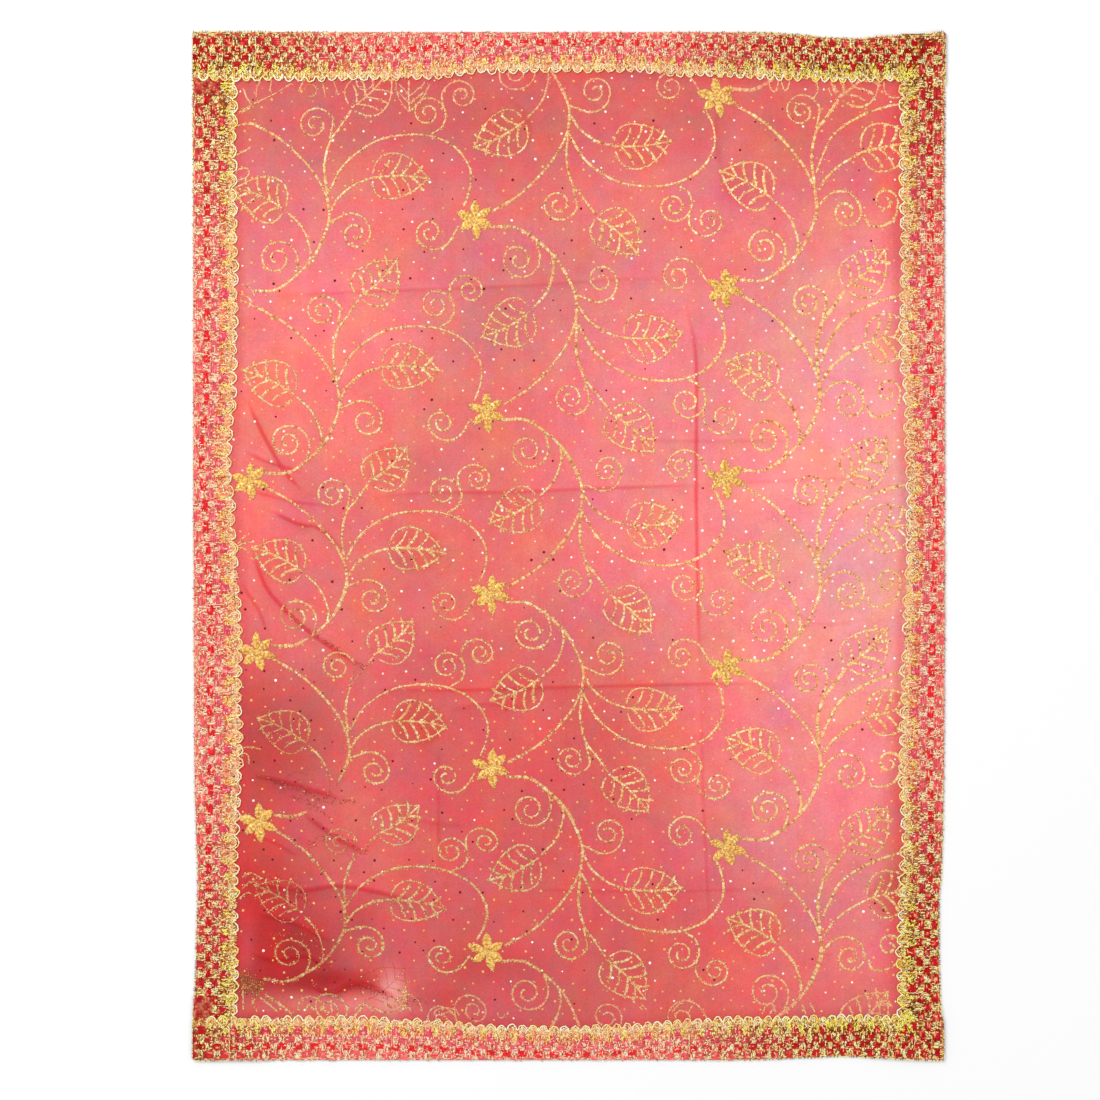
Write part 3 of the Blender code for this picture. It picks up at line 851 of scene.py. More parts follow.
def repeatsOf(columns):
    # vines rise between the left and middle columns and right of the right one, and hang between the others
    rising = [("left", "middle", False), ("right", "far", True)]
    for leftName, rightName, far in rising:
        for k in range(1, len(columns[leftName])):
            yield columns[leftName][k], columns[rightName][k], columns[leftName][k - 1], far
    middle, right = columns["middle"], columns["right"]
    for k in range(len(middle) - 1):
        yield middle[k], right[k + 1], middle[k + 1], False


# The print deepens the net inside a leaf: a little everywhere, and more or less in the leaves listed by
# their middles.
leafDye = {
    "tint": np.array([0.967, 0.88, 0.85]), "usual": 0.55, "narrow": 0.84, "edge": 1.08, "softness": 0.3,
    "near": 12,
}
deepLeaves = {
    (-150, -178): 2.6, (326, -348): 2.4, (73, 402): 1.8, (-53, -143): 1.7, (177, 361): 1.8, (-153, -5): 1.5,
    (-309, 347): 1.3, (-291, -14): 1.5, (-182, 81): 1.3, (326, -166): 1.6, (61, -67): 1.3, (183, -204): 1.3,
    (184, -386): 1.5, (-191, 267): 0.2, (-175, -273): 0, (-180, -440): 0, (297, 87): 0.2, (325, 18): 0.2,
}


def leafDepth(x, y):
    depth = np.zeros(x.shape)
    for left, right, previous, far in repeatsOf(flowerColumns):
        for name, row in vineLeaves.items():
            base, tip, _ = farVine.get(name, row) if far else row
            base, tip = fitted([base, tip], left, right, previous)
            middle, axis = (base + tip) / 2, (tip - base) / 2
            size = axis @ axis
            along = ((x - middle[0]) * axis[0] + (y - middle[1]) * axis[1]) / size
            across = ((y - middle[1]) * axis[0] - (x - middle[0]) * axis[1]) / size / leafDye["narrow"]
            nearest = min(deepLeaves, key=lambda place: math.dist(place, middle))
            listed = math.dist(nearest, middle) < leafDye["near"]
            deep = deepLeaves[nearest] if listed else leafDye["usual"]
            depth += deep * eased((leafDye["edge"] - np.hypot(along, across)) / leafDye["softness"])
    return leafDye["tint"] ** depth[..., None]


def printRuns(path):
    # the parts of a line that show inside the lace
    inside = underLace(path[:, 0], path[:, 1]) < printShape["outTo"]
    runs, start = [], None
    for i, here in enumerate([*inside, False]):
        if here and start is None:
            start = i
        elif not here and start is not None:
            if i - start > 3:
                runs.append(path[start:i])
            start = None
    return runs


# Where a crease hides or dulls the print: middle, radius, how much.
veils = (
    (-285, -70, 15, 0.5), (-259, -88, 13, 0.45), (-208, -128, 15, 0.85), (-287, -191, 30, 0.5),
    (-274, -238, 21, 0.97), (-246, -250, 25, 0.97), (-230, -298, 19, 0.5), (-204, -305, 14, 0.85),
    (-219, -347, 12, 0.45), (-289, -355, 32, 0.55), (-256, -398, 17, 0.5), (-272, -405, 20, 0.5),
    (-244, -410, 15, 0.55), (-192, -434, 26, 0.97), (-170, -424, 16, 0.97), (-120, -360, 16, 0.35),
    (-262, 20, 12, 0.4),
)


def veilAt(places):
    veil = np.zeros(len(places))
    for x, y, radius, most in veils:
        away = np.hypot(places[:, 0] - x, places[:, 1] - y)
        veil = np.maximum(veil, most * eased((1.15 * radius - away) / (0.4 * radius)))
    return veil


def hemFaintness(places):
    # the print shows less on the turned hem at the top and the bottom, but not at the lower left
    x, y = places[:, 0], places[:, 1]
    clear = ramp(-x, 140, 30) * (y < 0)
    return printShape["hemFaint"] * ramp(np.abs(y), printShape["hemFrom"], 24) * (1 - clear)


def printLight(x):
    # the print stands out less on the right, where the net is paler, so it is brighter there
    return 0.93 + 0.13 * ramp(x, -40, 160)


def printBoldness(x, y):
    # the lines are wider on the right, and a little finer lower down
    return 1.08 + 0.26 * ramp(x, 120, 120) - 0.04 * ramp(-y, 120, 100)


def printDimness(x, y):
    # redder and darker among the wrinkles at the lower left, but not on the hem there
    return 0.2 * ramp(-x, 170, 60) * ramp(-y, 110, 60) * (1 - ramp(-y, 444, 10))


def lineShades(run, veil):
    shape = printShape
    x, y = run[:, 0], run[:, 1]
    shades = printPalette[rng.choice(len(printPalette), len(run), p=shape["paletteShares"])]
    dull = 1 - shape["dulledLow"] * ramp(-y, 180, 160)
    shades = shades * (dull * printLight(x) * rng.uniform(*shape["brightness"], len(run)))[:, None]
    shades = shades * (1 - printDimness(x, y)[:, None] * shape["dimTint"])
    faint = hemFaintness(run)[:, None]
    shades = shades * (1 - faint) + linear(*shape["faintColour"]) * faint
    veil = shape["veilStrength"] * veil[:, None]
    return shades * (1 - veil) + linear(*shape["veilColour"]) * veil


def printLine(pile, grains, points, width, strength):
    shape = printShape
    path = evenSteps(smoothPath(points, 1.5), shape["step"])
    for run in printRuns(path):
        count, gap, noise = len(run), shape["slowSteps"], shape["widthNoise"]
        run = run + rng.normal(0, shape["wobble"], run.shape)
        knots = np.arange(0, count + gap, gap)
        slow = rng.uniform(*shape["slowRange"], (count + gap) // gap + 1)[: len(knots)]
        slow = np.interp(np.arange(count), knots, slow)
        wide = width * strength * slow * rng.uniform(1 - noise, 1 + noise, count)
        wide *= printBoldness(run[:, 0], run[:, 1])
        veil = veilAt(run)
        wide *= 1 - 0.9 * veil**2
        wide[[0, -1]] *= shape["endShare"]
        across = sidewaysOf(run)
        rows = []
        for share, rise in ((-0.5, 0), (0, shape["crown"]), (0.5, 0)):
            place = run + across * (wide * share)[:, None]
            rows.append(np.column_stack([place, np.full(count, shape["lift"] + rise)]))
        sweep(pile, np.stack(rows, axis=1)[None], lineShades(run, veil)[None])
        number = int(lengthsAlong(run)[-1] / shape["grainStep"])
        where = rng.uniform(0, count - 1.001, number)
        before = where.astype(int)
        spot = run[before] + (run[before + 1] - run[before]) * (where - before)[:, None]
        offset = rng.normal(0, 0.36 * width * shape["grainSpread"], number)
        grains.append(spot + across[before] * offset[:, None])


def grainPile(places, sizes, palette, lift):
    # little three sided points
    pile = Pile()
    count = len(places)
    turn = rng.uniform(0, 2 * math.pi, count)
    radius = 0.56 * rng.uniform(*sizes, count)
    corners = np.zeros((count, 4, 3))
    for i in range(3):
        angle = turn + i * 2 * math.pi / 3
        stretch = rng.uniform(0.8, 1.2, count)
        corners[:, i, 0] = places[:, 0] + radius * stretch * np.cos(angle)
        corners[:, i, 1] = places[:, 1] + radius * stretch * np.sin(angle)
        corners[:, i, 2] = lift
    corners[:, 3, :2] = places
    corners[:, 3, 2] = lift + radius * 0.7
    first = (np.arange(count) * 4)[:, None]
    faces = np.vstack([first + [0, 1, 3], first + [1, 2, 3], first + [2, 0, 3]])
    shades = palette[rng.integers(0, len(palette), count)] * rng.uniform(0.85, 1.1, (count, 1))
    shades = shades * printLight(places[:, :1])
    pile.add(corners, faces, np.repeat(shades, 4, axis=0))
    return pile


def vinePrint():
    pile, grains = Pile(), []
    for left, right, previous, far in repeatsOf(flowerColumns):
        for width, points in vineLines(far):
            strength = rng.uniform(*printShape["vineStrength"])
            printLine(pile, grains, fitted(points, left, right, previous), width, strength)
    for points in hemMarks:
        printLine(pile, grains, points, printShape["hemWidth"], rng.uniform(*printShape["hemStrength"]))
    places = np.vstack(grains)
    places = places[underLace(places[:, 0], places[:, 1]) < printShape["outTo"]]
    places = places[rng.random(len(places)) > np.maximum(hemFaintness(places), veilAt(places))]
    vines = pile.build("vinePrint", glitterPrint, onNet=True)
    sparkle = grainPile(places, printShape["grainSize"], grainPalette, printShape["grainLift"])
    return vines, sparkle.build("vineGlitter", glitterPrint, onNet=True)


netPiece = netSheet()
flapPiece = netFlaps()
vinePieces = vinePrint()

# Six puffy petals of thick glitter round each vine's start
flowerShape = {
    "petals": ((90, 20.5), (38, 19.5), (-22, 20.0), (-80, 20.5), (-140, 19.5), (161, 20.5)),
    "petalWidth": 9.4, "height": 1.2, "steps": 16, "across": 7, "turnNoise": 8, "lengthRange": (0.9, 1.06),
    "grains": 34, "grainSize": (0.7, 1.4), "grainLift": 1.0, "lift": 0.3, "lastRow": 470,
    "hidden": ((-337, 430), (-331, 246), (-321, -438)),
    "bright": [(253, 212, 84), (247, 194, 88), (255, 232, 134), (238, 180, 72)],
    "dim": [(216, 136, 62), (190, 104, 52), (232, 162, 88)],
}


def printedPetal(pile, grains, middle, angle, reach):
    shape = flowerShape
    turn = math.radians(angle + rng.uniform(-shape["turnNoise"], shape["turnNoise"]))
    long = reach * rng.uniform(*shape["lengthRange"])
    along = np.linspace(0.02, 1, shape["steps"])
    side = np.linspace(-1, 1, shape["across"])
    swell = np.sin(math.pi * (0.98 * along) ** 1.28) ** 0.8
    wide = shape["petalWidth"] / 2 * swell * rng.uniform(0.82, 1.06)
    # ribs slant from the middle line to the edge
    px = long * (along[:, None] - 0.05 * np.abs(side)[None, :])
    py = wide[:, None] * side[None, :]
    rise = shape["height"] * np.sqrt(1 - side**2)[None, :] * swell[:, None]
    rise = rise + rng.uniform(-0.22, 0.22, rise.shape) * (rise > 0.2)
    x = middle[0] + px * math.cos(turn) - py * math.sin(turn)
    y = middle[1] + px * math.sin(turn) + py * math.cos(turn)
    bright, dim = (np.array([linear(*c) for c in shape[name]]) for name in ("bright", "dim"))
    shades = bright[rng.integers(0, len(bright), x.shape)] * rng.uniform(0.88, 1.04, (*x.shape, 1))
    ribs = (np.arange(len(along)) % 3 == 0)[:, None]
    gaps = ribs & (rng.random(x.shape) < 0.75) | (rng.random(x.shape) < 0.12)
    gaps[:, len(side) // 2] |= rng.random(len(along)) < 0.5
    shades[gaps] = dim[rng.integers(0, len(dim), int(gaps.sum()))]
    sweep(pile, np.stack([x, y, shape["lift"] + rise], axis=-1)[None], np.zeros((1, 3)))
    pile.shades[-1] = shades.reshape(-1, 3)
    share, edge = rng.uniform(0.12, 1, shape["grains"]), rng.uniform(-1.2, 1.2, shape["grains"])
    gx, gy = share * long, np.interp(share, along, wide) * edge
    spotX = gx * math.cos(turn) - gy * math.sin(turn)
    spotY = gx * math.sin(turn) + gy * math.cos(turn)
    grains.append(np.array(middle) + np.column_stack([spotX, spotY]))


def printedFlowers():
    pile, grains = Pile(), []
    for name in ("left", "middle", "right"):
        for middle in flowerColumns[name]:
            if abs(middle[1]) > flowerShape["lastRow"] or tuple(middle) in flowerShape["hidden"]:
                continue
            for angle, reach in flowerShape["petals"]:
                printedPetal(pile, grains, middle, angle, reach)
    places = np.vstack(grains)
    places = places[underLace(places[:, 0], places[:, 1]) < 0]
    flowers = pile.build("flowerPrint", glitterPrint, onNet=True)
    specks = grainPile(places, flowerShape["grainSize"], grainPalette, flowerShape["grainLift"])
    return flowers, specks.build("flowerGlitter", glitterPrint, onNet=True)


flowerPieces = printedFlowers()

speckSize = (0.8, 1.6)
# Print that a crease has gathered into a band of brown and dark red specks: points, half width, number.
gatheredPrint = {
    "bands": (
        ([(-312, -230), (-286, -238), (-262, -246), (-244, -254), (-214, -256)], 3.0, 190),
        ([(-276, -250), (-252, -262), (-236, -276)], 2.5, 70),
        ([(-262, -300), (-236, -290), (-214, -300), (-202, -308)], 4.5, 100),
        ([(-320, -338), (-296, -334), (-272, -344), (-258, -362)], 6.0, 130),
        ([(-256, -438), (-234, -448), (-208, -440), (-176, -452), (-140, -456)], 3.5, 160),
        ([(-300, -392), (-272, -384), (-250, -398), (-240, -424)], 6.0, 130),
        ([(-286, -62), (-262, -82), (-236, -100), (-204, -122)], 2.5, 120),
    ),
    "palette": [(160, 22, 18), (176, 40, 28), (206, 104, 62), (224, 148, 96), (180, 84, 46), (200, 50, 40)],
    "lift": 0.25,
}
# The lowest flower on the left is only a patch of dim gold and brown specks.
dimFlowerSpecks = {
    "bands": (([(-333, -432), (-320, -438), (-308, -444)], 9.5, 420),),
    "palette": [(176, 122, 40), (130, 76, 24), (206, 158, 64), (112, 50, 22), (232, 188, 96), (150, 92, 30)],
    "lift": 0.3,
}


def specksAlong(points, halfWide, number):
    path = evenSteps(smoothPath(points, 2), 1.0)
    across = sidewaysOf(path)
    at = rng.integers(0, len(path), number)
    return path[at] + across[at] * rng.normal(0, 0.55 * halfWide, (number, 1))


def speckPiece(name, shape):
    places = np.vstack([specksAlong(*band) for band in shape["bands"]])
    places = places[underLace(places[:, 0], places[:, 1]) < 0]
    palette = np.array([linear(*colour) for colour in shape["palette"]])
    return grainPile(places, speckSize, palette, shape["lift"]).build(name, glitterPrint, onNet=True)


gatheredPiece = speckPiece("gatheredPrint", gatheredPrint)
dimFlowerPiece = speckPiece("dimFlowerSpecks", dimFlowerSpecks)

# Foil spots in a staggered field; the silver ones are a painted glint and the maroon ones painted shade on
# the foil
spotShape = {
    "stepX": 20.0, "stepY": 10.0, "jitter": 1.6, "corners": 7, "outTo": 0,
    "height": 0.3, "foot": 0.02, "shoulder": 0.75, "topShare": 0.72, "radiusRange": (0.6, 1.35),
    # silver: a painted glint, foil white where it catches the light; maroon: painted shade, foil turned away
    # from the light
    "glintSilver": (255, 250, 236), "gold": (246, 188, 104), "shadedMaroon": (122, 4, 26),
    "radii": (1.12, 1.02, 1.15), "radiusNoise": 0.2, "missing": 0.1,
    # shares: everywhere, then how much more round a middle with its radii
    "glintSilverShare": (0.2, (
        (225, 50, 150, 190, 0.85), (-150, -290, 230, 190, -0.14), (160, -330, 190, 150, -0.05),
    )),
    "shadedMaroonShare": (0.05, ((-190, -260, 200, 190, 0.32), (-100, 280, 300, 220, 0.1))),
}


def shareAt(share, places):
    # a share of the spots that swells and shrinks round a few middles
    total, swells = share
    for middleX, middleY, radiusX, radiusY, more in swells:
        squares = ((places[:, 0] - middleX) / radiusX) ** 2 + ((places[:, 1] - middleY) / radiusY) ** 2
        total = total + more * np.exp(-squares)
    return total


def foilSpots():
    shape = spotShape
    places = []
    rows = int(2 * halfLength / shape["stepY"])
    columns = int(2 * halfWidth / shape["stepX"]) + 2
    for row in range(rows):
        for column in range(columns):
            x = -halfWidth + (column + 0.5 * (row % 2)) * shape["stepX"]
            places.append((x, -halfLength + row * shape["stepY"]))
    places = np.array(places) + rng.normal(0, shape["jitter"], (len(places), 2))
    inside = underLace(places[:, 0], places[:, 1]) < shape["outTo"]
    places = places[inside & (rng.random(len(places)) > shape["missing"])]
    count, corners = len(places), shape["corners"]
    chance = rng.random(count)
    glintSilver = shareAt(shape["glintSilverShare"], places)
    kinds = np.where(chance < glintSilver, 0, np.where(chance > 1 - shareAt(shape["shadedMaroonShare"], places), 2, 1))
    colours = np.array([linear(*shape[name]) for name in ("glintSilver", "gold", "shadedMaroon")])[kinds]
    radius = rng.normal(1, shape["radiusNoise"], count).clip(*shape["radiusRange"])
    radius = np.array(shape["radii"])[kinds] * radius
    points = np.zeros((count, 2 * corners + 1, 3))
    rings = ((0, 1, shape["foot"]), (corners, shape["topShare"], shape["shoulder"] * shape["height"]))
    for start, share, height in rings:
        for i in range(corners):
            angle = i * 2 * math.pi / corners
            points[:, start + i, 0] = places[:, 0] + share * radius * math.cos(angle)
            points[:, start + i, 1] = places[:, 1] + share * radius * math.sin(angle)
            points[:, start + i, 2] = height
    points[:, -1, :2] = places
    points[:, -1, 2] = shape["height"]
    first = (np.arange(count) * (2 * corners + 1))[:, None]
    pairs = [(i, (i + 1) % corners) for i in range(corners)]
    quads = np.vstack([first + [i, after, corners + after, corners + i] for i, after in pairs])
    caps = np.vstack([first + [corners + i, corners + after, 2 * corners] for i, after in pairs])
    shades = np.repeat(colours * rng.uniform(0.9, 1.05, (count, 1)), 2 * corners + 1, axis=0)
    pile = Pile()
    pile.add(points, quads, shades)
    pile.faces.append(caps)
    return pile.build("foilSpots", foilSpot, onNet=True)


spotPiece = foilSpots()
for piece in (netPiece, flapPiece, *vinePieces, *flowerPieces, gatheredPiece, dimFlowerPiece, spotPiece):
    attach(piece, "root")
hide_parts("net_panel")
print("net printed")

# The woven lace. Rows are given by their distance outwards from the scallop tips.
laceShape = {
    # rows: centre, half height, first column and step in repeats, colour in the corners and in the middle
    "rows": {
        "wedge": (15.2, 5.4, 0.0, 1.0, (188, 12, 18), (232, 78, 100)),
        "inner": (24.6, 3.6, 0.25, 0.5, (176, 4, 6), (236, 96, 104)),
        "middle": (31.6, 3.5, 0.0, 0.5, (174, 3, 6), (238, 36, 48)),
        "outer": (39.4, 4.5, 0.25, 0.5, (188, 16, 24), (246, 96, 98)),
        "edge": (47.6, 3.7, 0.0, 0.5, (196, 72, 54), (242, 120, 108)),
    },
    "fullWidth": 47.0, "narrowing": 0.28,  # rows draw together where the lace is narrow
    "rampFrom": 54, "rampOver": 4,  # where a length climbs over the end of the next one
    "cornerBoost": 1.06,
    # each colour as it is in the corners, and as it glows in the middle of a side: painted light and shade,
    # deep and dark towards the corners and washed out in the middle
    "pale": [
        ((255, 238, 146), (255, 218, 182)), ((255, 252, 204), (255, 244, 222)),
        ((250, 210, 112), (254, 196, 158)), ((255, 226, 136), (255, 208, 160)),
        ((230, 162, 72), (248, 166, 140)), ((255, 244, 156), (255, 226, 182)),
    ],
    # dark: painted shade in the gaps between threads, with some dark red and brown thread
    "dark": [
        ((104, 44, 20), (190, 74, 50)), ((132, 58, 26), (206, 100, 66)),
        ((128, 10, 6), (196, 30, 36)), ((170, 96, 44), (226, 130, 90)),
    ],
    "lemon": [
        ((252, 232, 70), (252, 220, 104)), ((240, 212, 56), (246, 206, 92)),
        ((255, 252, 150), (255, 242, 150)), ((214, 166, 44), (236, 174, 88)),
        ((255, 244, 112), (255, 232, 120)), ((120, 72, 26), (206, 116, 70)),
    ],
    "web": [
        ((252, 228, 140), (255, 218, 168)), ((250, 214, 84), (250, 204, 124)),
        ((255, 250, 206), (255, 240, 206)), ((220, 146, 76), (242, 168, 128)),
        ((140, 62, 34), (216, 112, 92)), ((240, 180, 104), (248, 188, 142)),
    ],
    "rim": [
        ((255, 248, 170), (255, 236, 176)), ((255, 253, 214), (255, 244, 204)),
        ((252, 234, 104), (252, 220, 132)), ((244, 212, 110), (250, 204, 138)),
    ],
    "pink": [
        ((240, 96, 80), (255, 150, 140)), ((250, 176, 120), (255, 200, 160)),
        ((255, 230, 170), (255, 230, 190)),
    ],
    # ground: plain, gold, tan and cream under the threads; the plain colour is painted shade in the gaps
    "ground": [
        ((116, 46, 22), (222, 104, 82)), ((170, 88, 38), (228, 130, 98)),
        ((176, 92, 44), (236, 142, 106)), ((236, 190, 100), (252, 196, 140)),
    ],
}


def paletteOf(colours):
    return np.array([[linear(*deep), linear(*glowing)] for deep, glowing in colours])


paleShades, darkShades, lemonShades = (paletteOf(laceShape[name]) for name in ("pale", "dark", "lemon"))
webShades, rimShades = (paletteOf(laceShape[name]) for name in ("web", "rim"))
pinkShades, groundAndShadeShades = (paletteOf(laceShape[name]) for name in ("pink", "ground"))


# painted light and shade along a side: 0 near the corners, where the colours are deep and dark, rising to 1
# in its middle, where they are washed out and pale
def glowAt(side, along):
    (low, high), (lowEnd, highEnd) = side["glow"]
    fromStart, fromEnd = along - side["start"], side["end"] - along
    glow = ramp(fromStart, low, high - low) * ramp(fromEnd, lowEnd, highEnd - lowEnd)
    return glow[..., None]


def numberAt(side, along):
    numbers, places = zip(*side["wedges"])
    return np.interp(along, places, numbers)


def repeatPlaces(side, step, shift):
    # where something comes once in each step of the repeat, and the room between two red squares there
    numbers, places = zip(*side["wedges"])
    wanted = np.arange(numbers[0] + 0.5, numbers[-1] - 0.5, step) + shift - 0.5
    found = np.interp(wanted, numbers, places)
    room = np.interp(wanted + 0.25, numbers, places) - np.interp(wanted - 0.25, numbers, places)
    inside = (found > side["start"] - 4) & (found < side["end"] + 4)
    return found[inside], room[inside]


def rowBack(side, along, back):
    return back * (1 - laceShape["narrowing"] * (1 - laceWidth(side, along) / laceShape["fullWidth"]))


def pick(palette, count, steps, spread=0.12, stray=0.3):
    # each thread has its colour, with brighter, darker and stray places along it
    own = np.repeat(rng.integers(0, len(palette), (count, 1)), steps, axis=1)
    own = np.where(rng.random((count, steps)) < stray, rng.integers(0, len(palette), (count, steps)), own)
    return palette[own] * rng.uniform(1 - spread, 1 + spread, (count, steps, 1, 1))


def zigzag(count):
    return np.where(np.arange(count) % 2, 0.5, -0.5)


def insideEdge(side, along, back, gap):
    return (back < laceWidth(side, along) - gap).all(axis=1)


# the points across a thread: the finest ones are flat
flatAcross = (-0.5, 0.5)
roundAcross = (-0.5, 0, 0.5)


def threads(pile, side, along, back, width, lift, crown, shades, across=roundAcross):
    # along, back: threads x steps; each becomes a rounded strip
    along, back = np.broadcast_arrays(np.asarray(along, float), np.asarray(back, float))
    width, lift = np.broadcast_to(width, along.shape), np.broadcast_to(lift, along.shape)
    toOuter = (laceWidth(side, along) - back).mean(axis=1)
    kept = np.ones(len(along), bool)
    for end in side["mitred"]:
        fromEnd = np.abs(along - side[end])
        kept &= fromEnd.mean(axis=1) > toOuter
        climb = eased((laceShape["rampFrom"] - fromEnd) / laceShape["rampOver"])
        lift = lift + side["cornerRise"] * climb
    along, back, width, lift, shades = along[kept], back[kept], width[kept], lift[kept], shades[kept]
    if not kept.any():
        return
    slopeA, slopeB = np.gradient(along, axis=1), np.gradient(back, axis=1)
    length = np.maximum(np.hypot(slopeA, slopeB), 1e-9)
    normalA, normalB = -slopeB / length, slopeA / length
    rows = []
    for share in across:
        rise = crown * math.sqrt(max(0.0, 1 - (2 * share) ** 2))
        a = np.clip(along + normalA * width * share, side["start"] + 0.1, side["end"] - 0.1)
        rows.append(lacePoint(side, a, back + normalB * width * share, lift + rise))
    # painted light: the colours wash out towards the middle of a side, and each length is brightened by its
    # level
    glow = glowAt(side, along)
    mixed = laceShape["cornerBoost"] * shades[..., 0, :] * (1 - glow) + shades[..., 1, :] * glow
    sweep(pile, np.stack(rows, axis=2), np.clip(mixed * side["level"], 0, 1))


curlShape = {
    "points": 4, "crosswise": 0.74, "reach": (1.8, 3.6), "sway": 0.3, "looseSway": 1.8,
    "widths": (0.75, 1.15), "rise": 0.35, "edgeGap": 0.6, "netGap": 1.5, "spread": 0.16, "stray": 0.3,
}


def curls(pile, side, places, backs, reachA, reachB, number, palette,
          width=1.05, lift=0.5, crown=0.32, loose=0.1):
    # short crinkled threads round each place, most of them along or across the lace
    shape = curlShape
    count = len(places) * number
    if count == 0:
        return
    reachA = np.repeat(reachA, number)[:, None]
    middleA = np.repeat(places, number)[:, None] + rng.uniform(-1, 1, (count, 1)) * reachA
    middleB = np.repeat(backs, number)[:, None] + rng.uniform(-1, 1, (count, 1)) * reachB
    crosswise = rng.random((count, 1)) < shape["crosswise"]
    turn = crosswise * math.pi / 2 + rng.normal(0, loose, (count, 1))
    points = shape["points"]
    longer = 0.75 + 0.45 * crosswise
    reach = np.linspace(-0.5, 0.5, points) * rng.uniform(*shape["reach"], (count, 1)) * longer
    sway = zigzag(points) * rng.uniform(0.1, shape["sway"] + shape["looseSway"] * loose, (count, 1))
    along = middleA + reach * np.cos(turn) - sway * np.sin(turn)
    back = middleB + reach * np.sin(turn) + sway * np.cos(turn)
    shown = insideEdge(side, along, back, shape["edgeGap"]) & (back > shape["netGap"]).all(axis=1)
    count = int(shown.sum())
    wide = width * rng.uniform(*shape["widths"], (count, points))
    high = lift + rng.uniform(0, shape["rise"], (count, 1))
    across = roundAcross if crown else flatAcross
    shades = pick(palette, count, points, shape["spread"], shape["stray"])
    threads(pile, side, along[shown], back[shown], wide, high, crown, shades, across)


fleckShape = {
    "points": 3, "reach": (1.4, 3.2), "wobble": 0.15, "width": 0.8, "lift": 1.1, "edgeGap": 0.5,
    "spread": 0.2, "stray": 0.15,
}


def flecks(pile, side, first, last, each, palette):
    # short loose threads lying every way, which break up the pattern
    shape = fleckShape
    points = shape["points"]
    count = int((side["end"] - side["start"]) * (last - first) / each)
    middle = rng.uniform(side["start"] + 1, side["end"] - 1, (count, 1))
    turn = rng.uniform(0, math.pi, (count, 1))
    reach = np.linspace(-0.5, 0.5, points) * rng.uniform(*shape["reach"], (count, 1))
    along = middle + reach * np.cos(turn)
    back = rng.uniform(first, last, (count, 1)) + reach * np.sin(turn)
    back = back + rng.normal(0, shape["wobble"], (count, points))
    shown = insideEdge(side, along, back, shape["edgeGap"]) & (back > first - 1).all(axis=1)
    shades = pick(palette, count, points, shape["spread"], shape["stray"])
    along, back, shades = along[shown], back[shown], shades[shown]
    threads(pile, side, along, back, shape["width"], shape["lift"], 0, shades, flatAcross)


groundAndShadeShape = {
    "from": 3.0, "to": 52.1, "step": 2.05, "edgeGap": 0.6, "lift": 0.3,
    "scallopTo": 9, "scallopDepth": 4.2, "scallopOver": 6,  # its inner edge dips between two scallops
    "tanBelow": 0.3, "creamAbove": 0.86, "redStrength": 0.85,
    "webTo": 10, "webGoldBelow": 0.35, "webCreamAbove": 0.6,
    "darkest": 0.7, "glowing": 0.15, "brightest": 1.2,
}


# a band under the threads: the lace's red rows and its gold, tan and cream web, with painted shade in the
# holes between threads, dark red brown towards the corners
def laceGroundAndShadeBand(name, side):
    shape = groundAndShadeShape
    count = round((side["end"] - side["start"]) / shape["step"])
    along = np.linspace(side["start"], side["end"], count + 1)
    backs = np.arange(shape["from"], shape["to"], shape["step"])
    a, b = np.meshgrid(along, backs, indexing="ij")
    number = numberAt(side, a)
    fromMiddle = np.abs((3 * number + 0.5) % 1 - 0.5) * 2
    dip = shape["scallopDepth"] * fromMiddle**2 * (shape["scallopTo"] - b) / shape["scallopOver"]
    b = np.where(b < shape["scallopTo"], b + dip, b)
    limit = laceWidth(side, a) - shape["edgeGap"]
    b = np.minimum(b, limit)
    used = (b[:, :-1] < limit[:, :-1] - 0.01).any(axis=0)
    last = int(np.argmax(~used)) if (~used).any() else len(used)
    a, b, number = a[:, : last + 1], b[:, : last + 1], number[:, : last + 1]
    glow = glowAt(side, a)
    plain, gold, tan, cream = (shade[0] * (1 - glow) + shade[1] * glow for shade in groundAndShadeShades)
    chance = rng.random((*a.shape, 1))
    shade = np.where(chance > shape["creamAbove"], cream, plain)
    shade = np.where(chance < shape["tanBelow"], tan, shade)
    depth = b / rowBack(side, a, 1.0)
    for centre, half, shift, step, deep, glowing in laceShape["rows"].values():
        wave = np.cos(2 * math.pi * (number - shift) / step)
        share = np.clip(0.5 + 1.6 * wave, 0, 1) if step < 1 else np.clip(3 * wave - 1.4, 0, 1)
        red = shape["redStrength"] * (linear(*deep) * (1 - glow) + linear(*glowing) * glow)
        inRow = (np.abs(depth - centre) < half + 0.2)[..., None] * share[..., None]
        shade = shade + (red - shade) * inRow
    web = np.where(chance > shape["webCreamAbove"], cream, tan)
    web = np.where(chance < shape["webGoldBelow"], gold, web)
    shade = np.where(depth[..., None] < shape["webTo"], web, shade)
    # random darker points: painted shade in the holes between threads, lighter where the side is washed out
    shade = shade * rng.uniform(shape["darkest"] + shape["glowing"] * glow, shape["brightest"])
    pile = Pile()
    sweep(pile, lacePoint(side, a, b, shape["lift"])[None], np.zeros((1, 3)))
    # painted light: each length brightened by its level
    pile.shades[-1] = np.clip(shade * side["level"], 0, 1).reshape(-1, 3)
    return pile.build(name, laceGroundAndShade)


squareShape = {
    "barWidth": 1.9, "points": 5, "length": 0.55, "lengths": (0.93, 1.07), "placeNoise": 0.25,
    "spread": 0.78, "backNoise": 0.14, "bead": 0.14, "widths": (0.85, 1.05), "brightness": (0.66, 1.24),
    "strayPink": 0.14, "edgeGap": 0.7, "lift": 0.8, "crown": 0.4, "wedgeMiddle": 0.66, "wedgeTaper": 0.34,
}


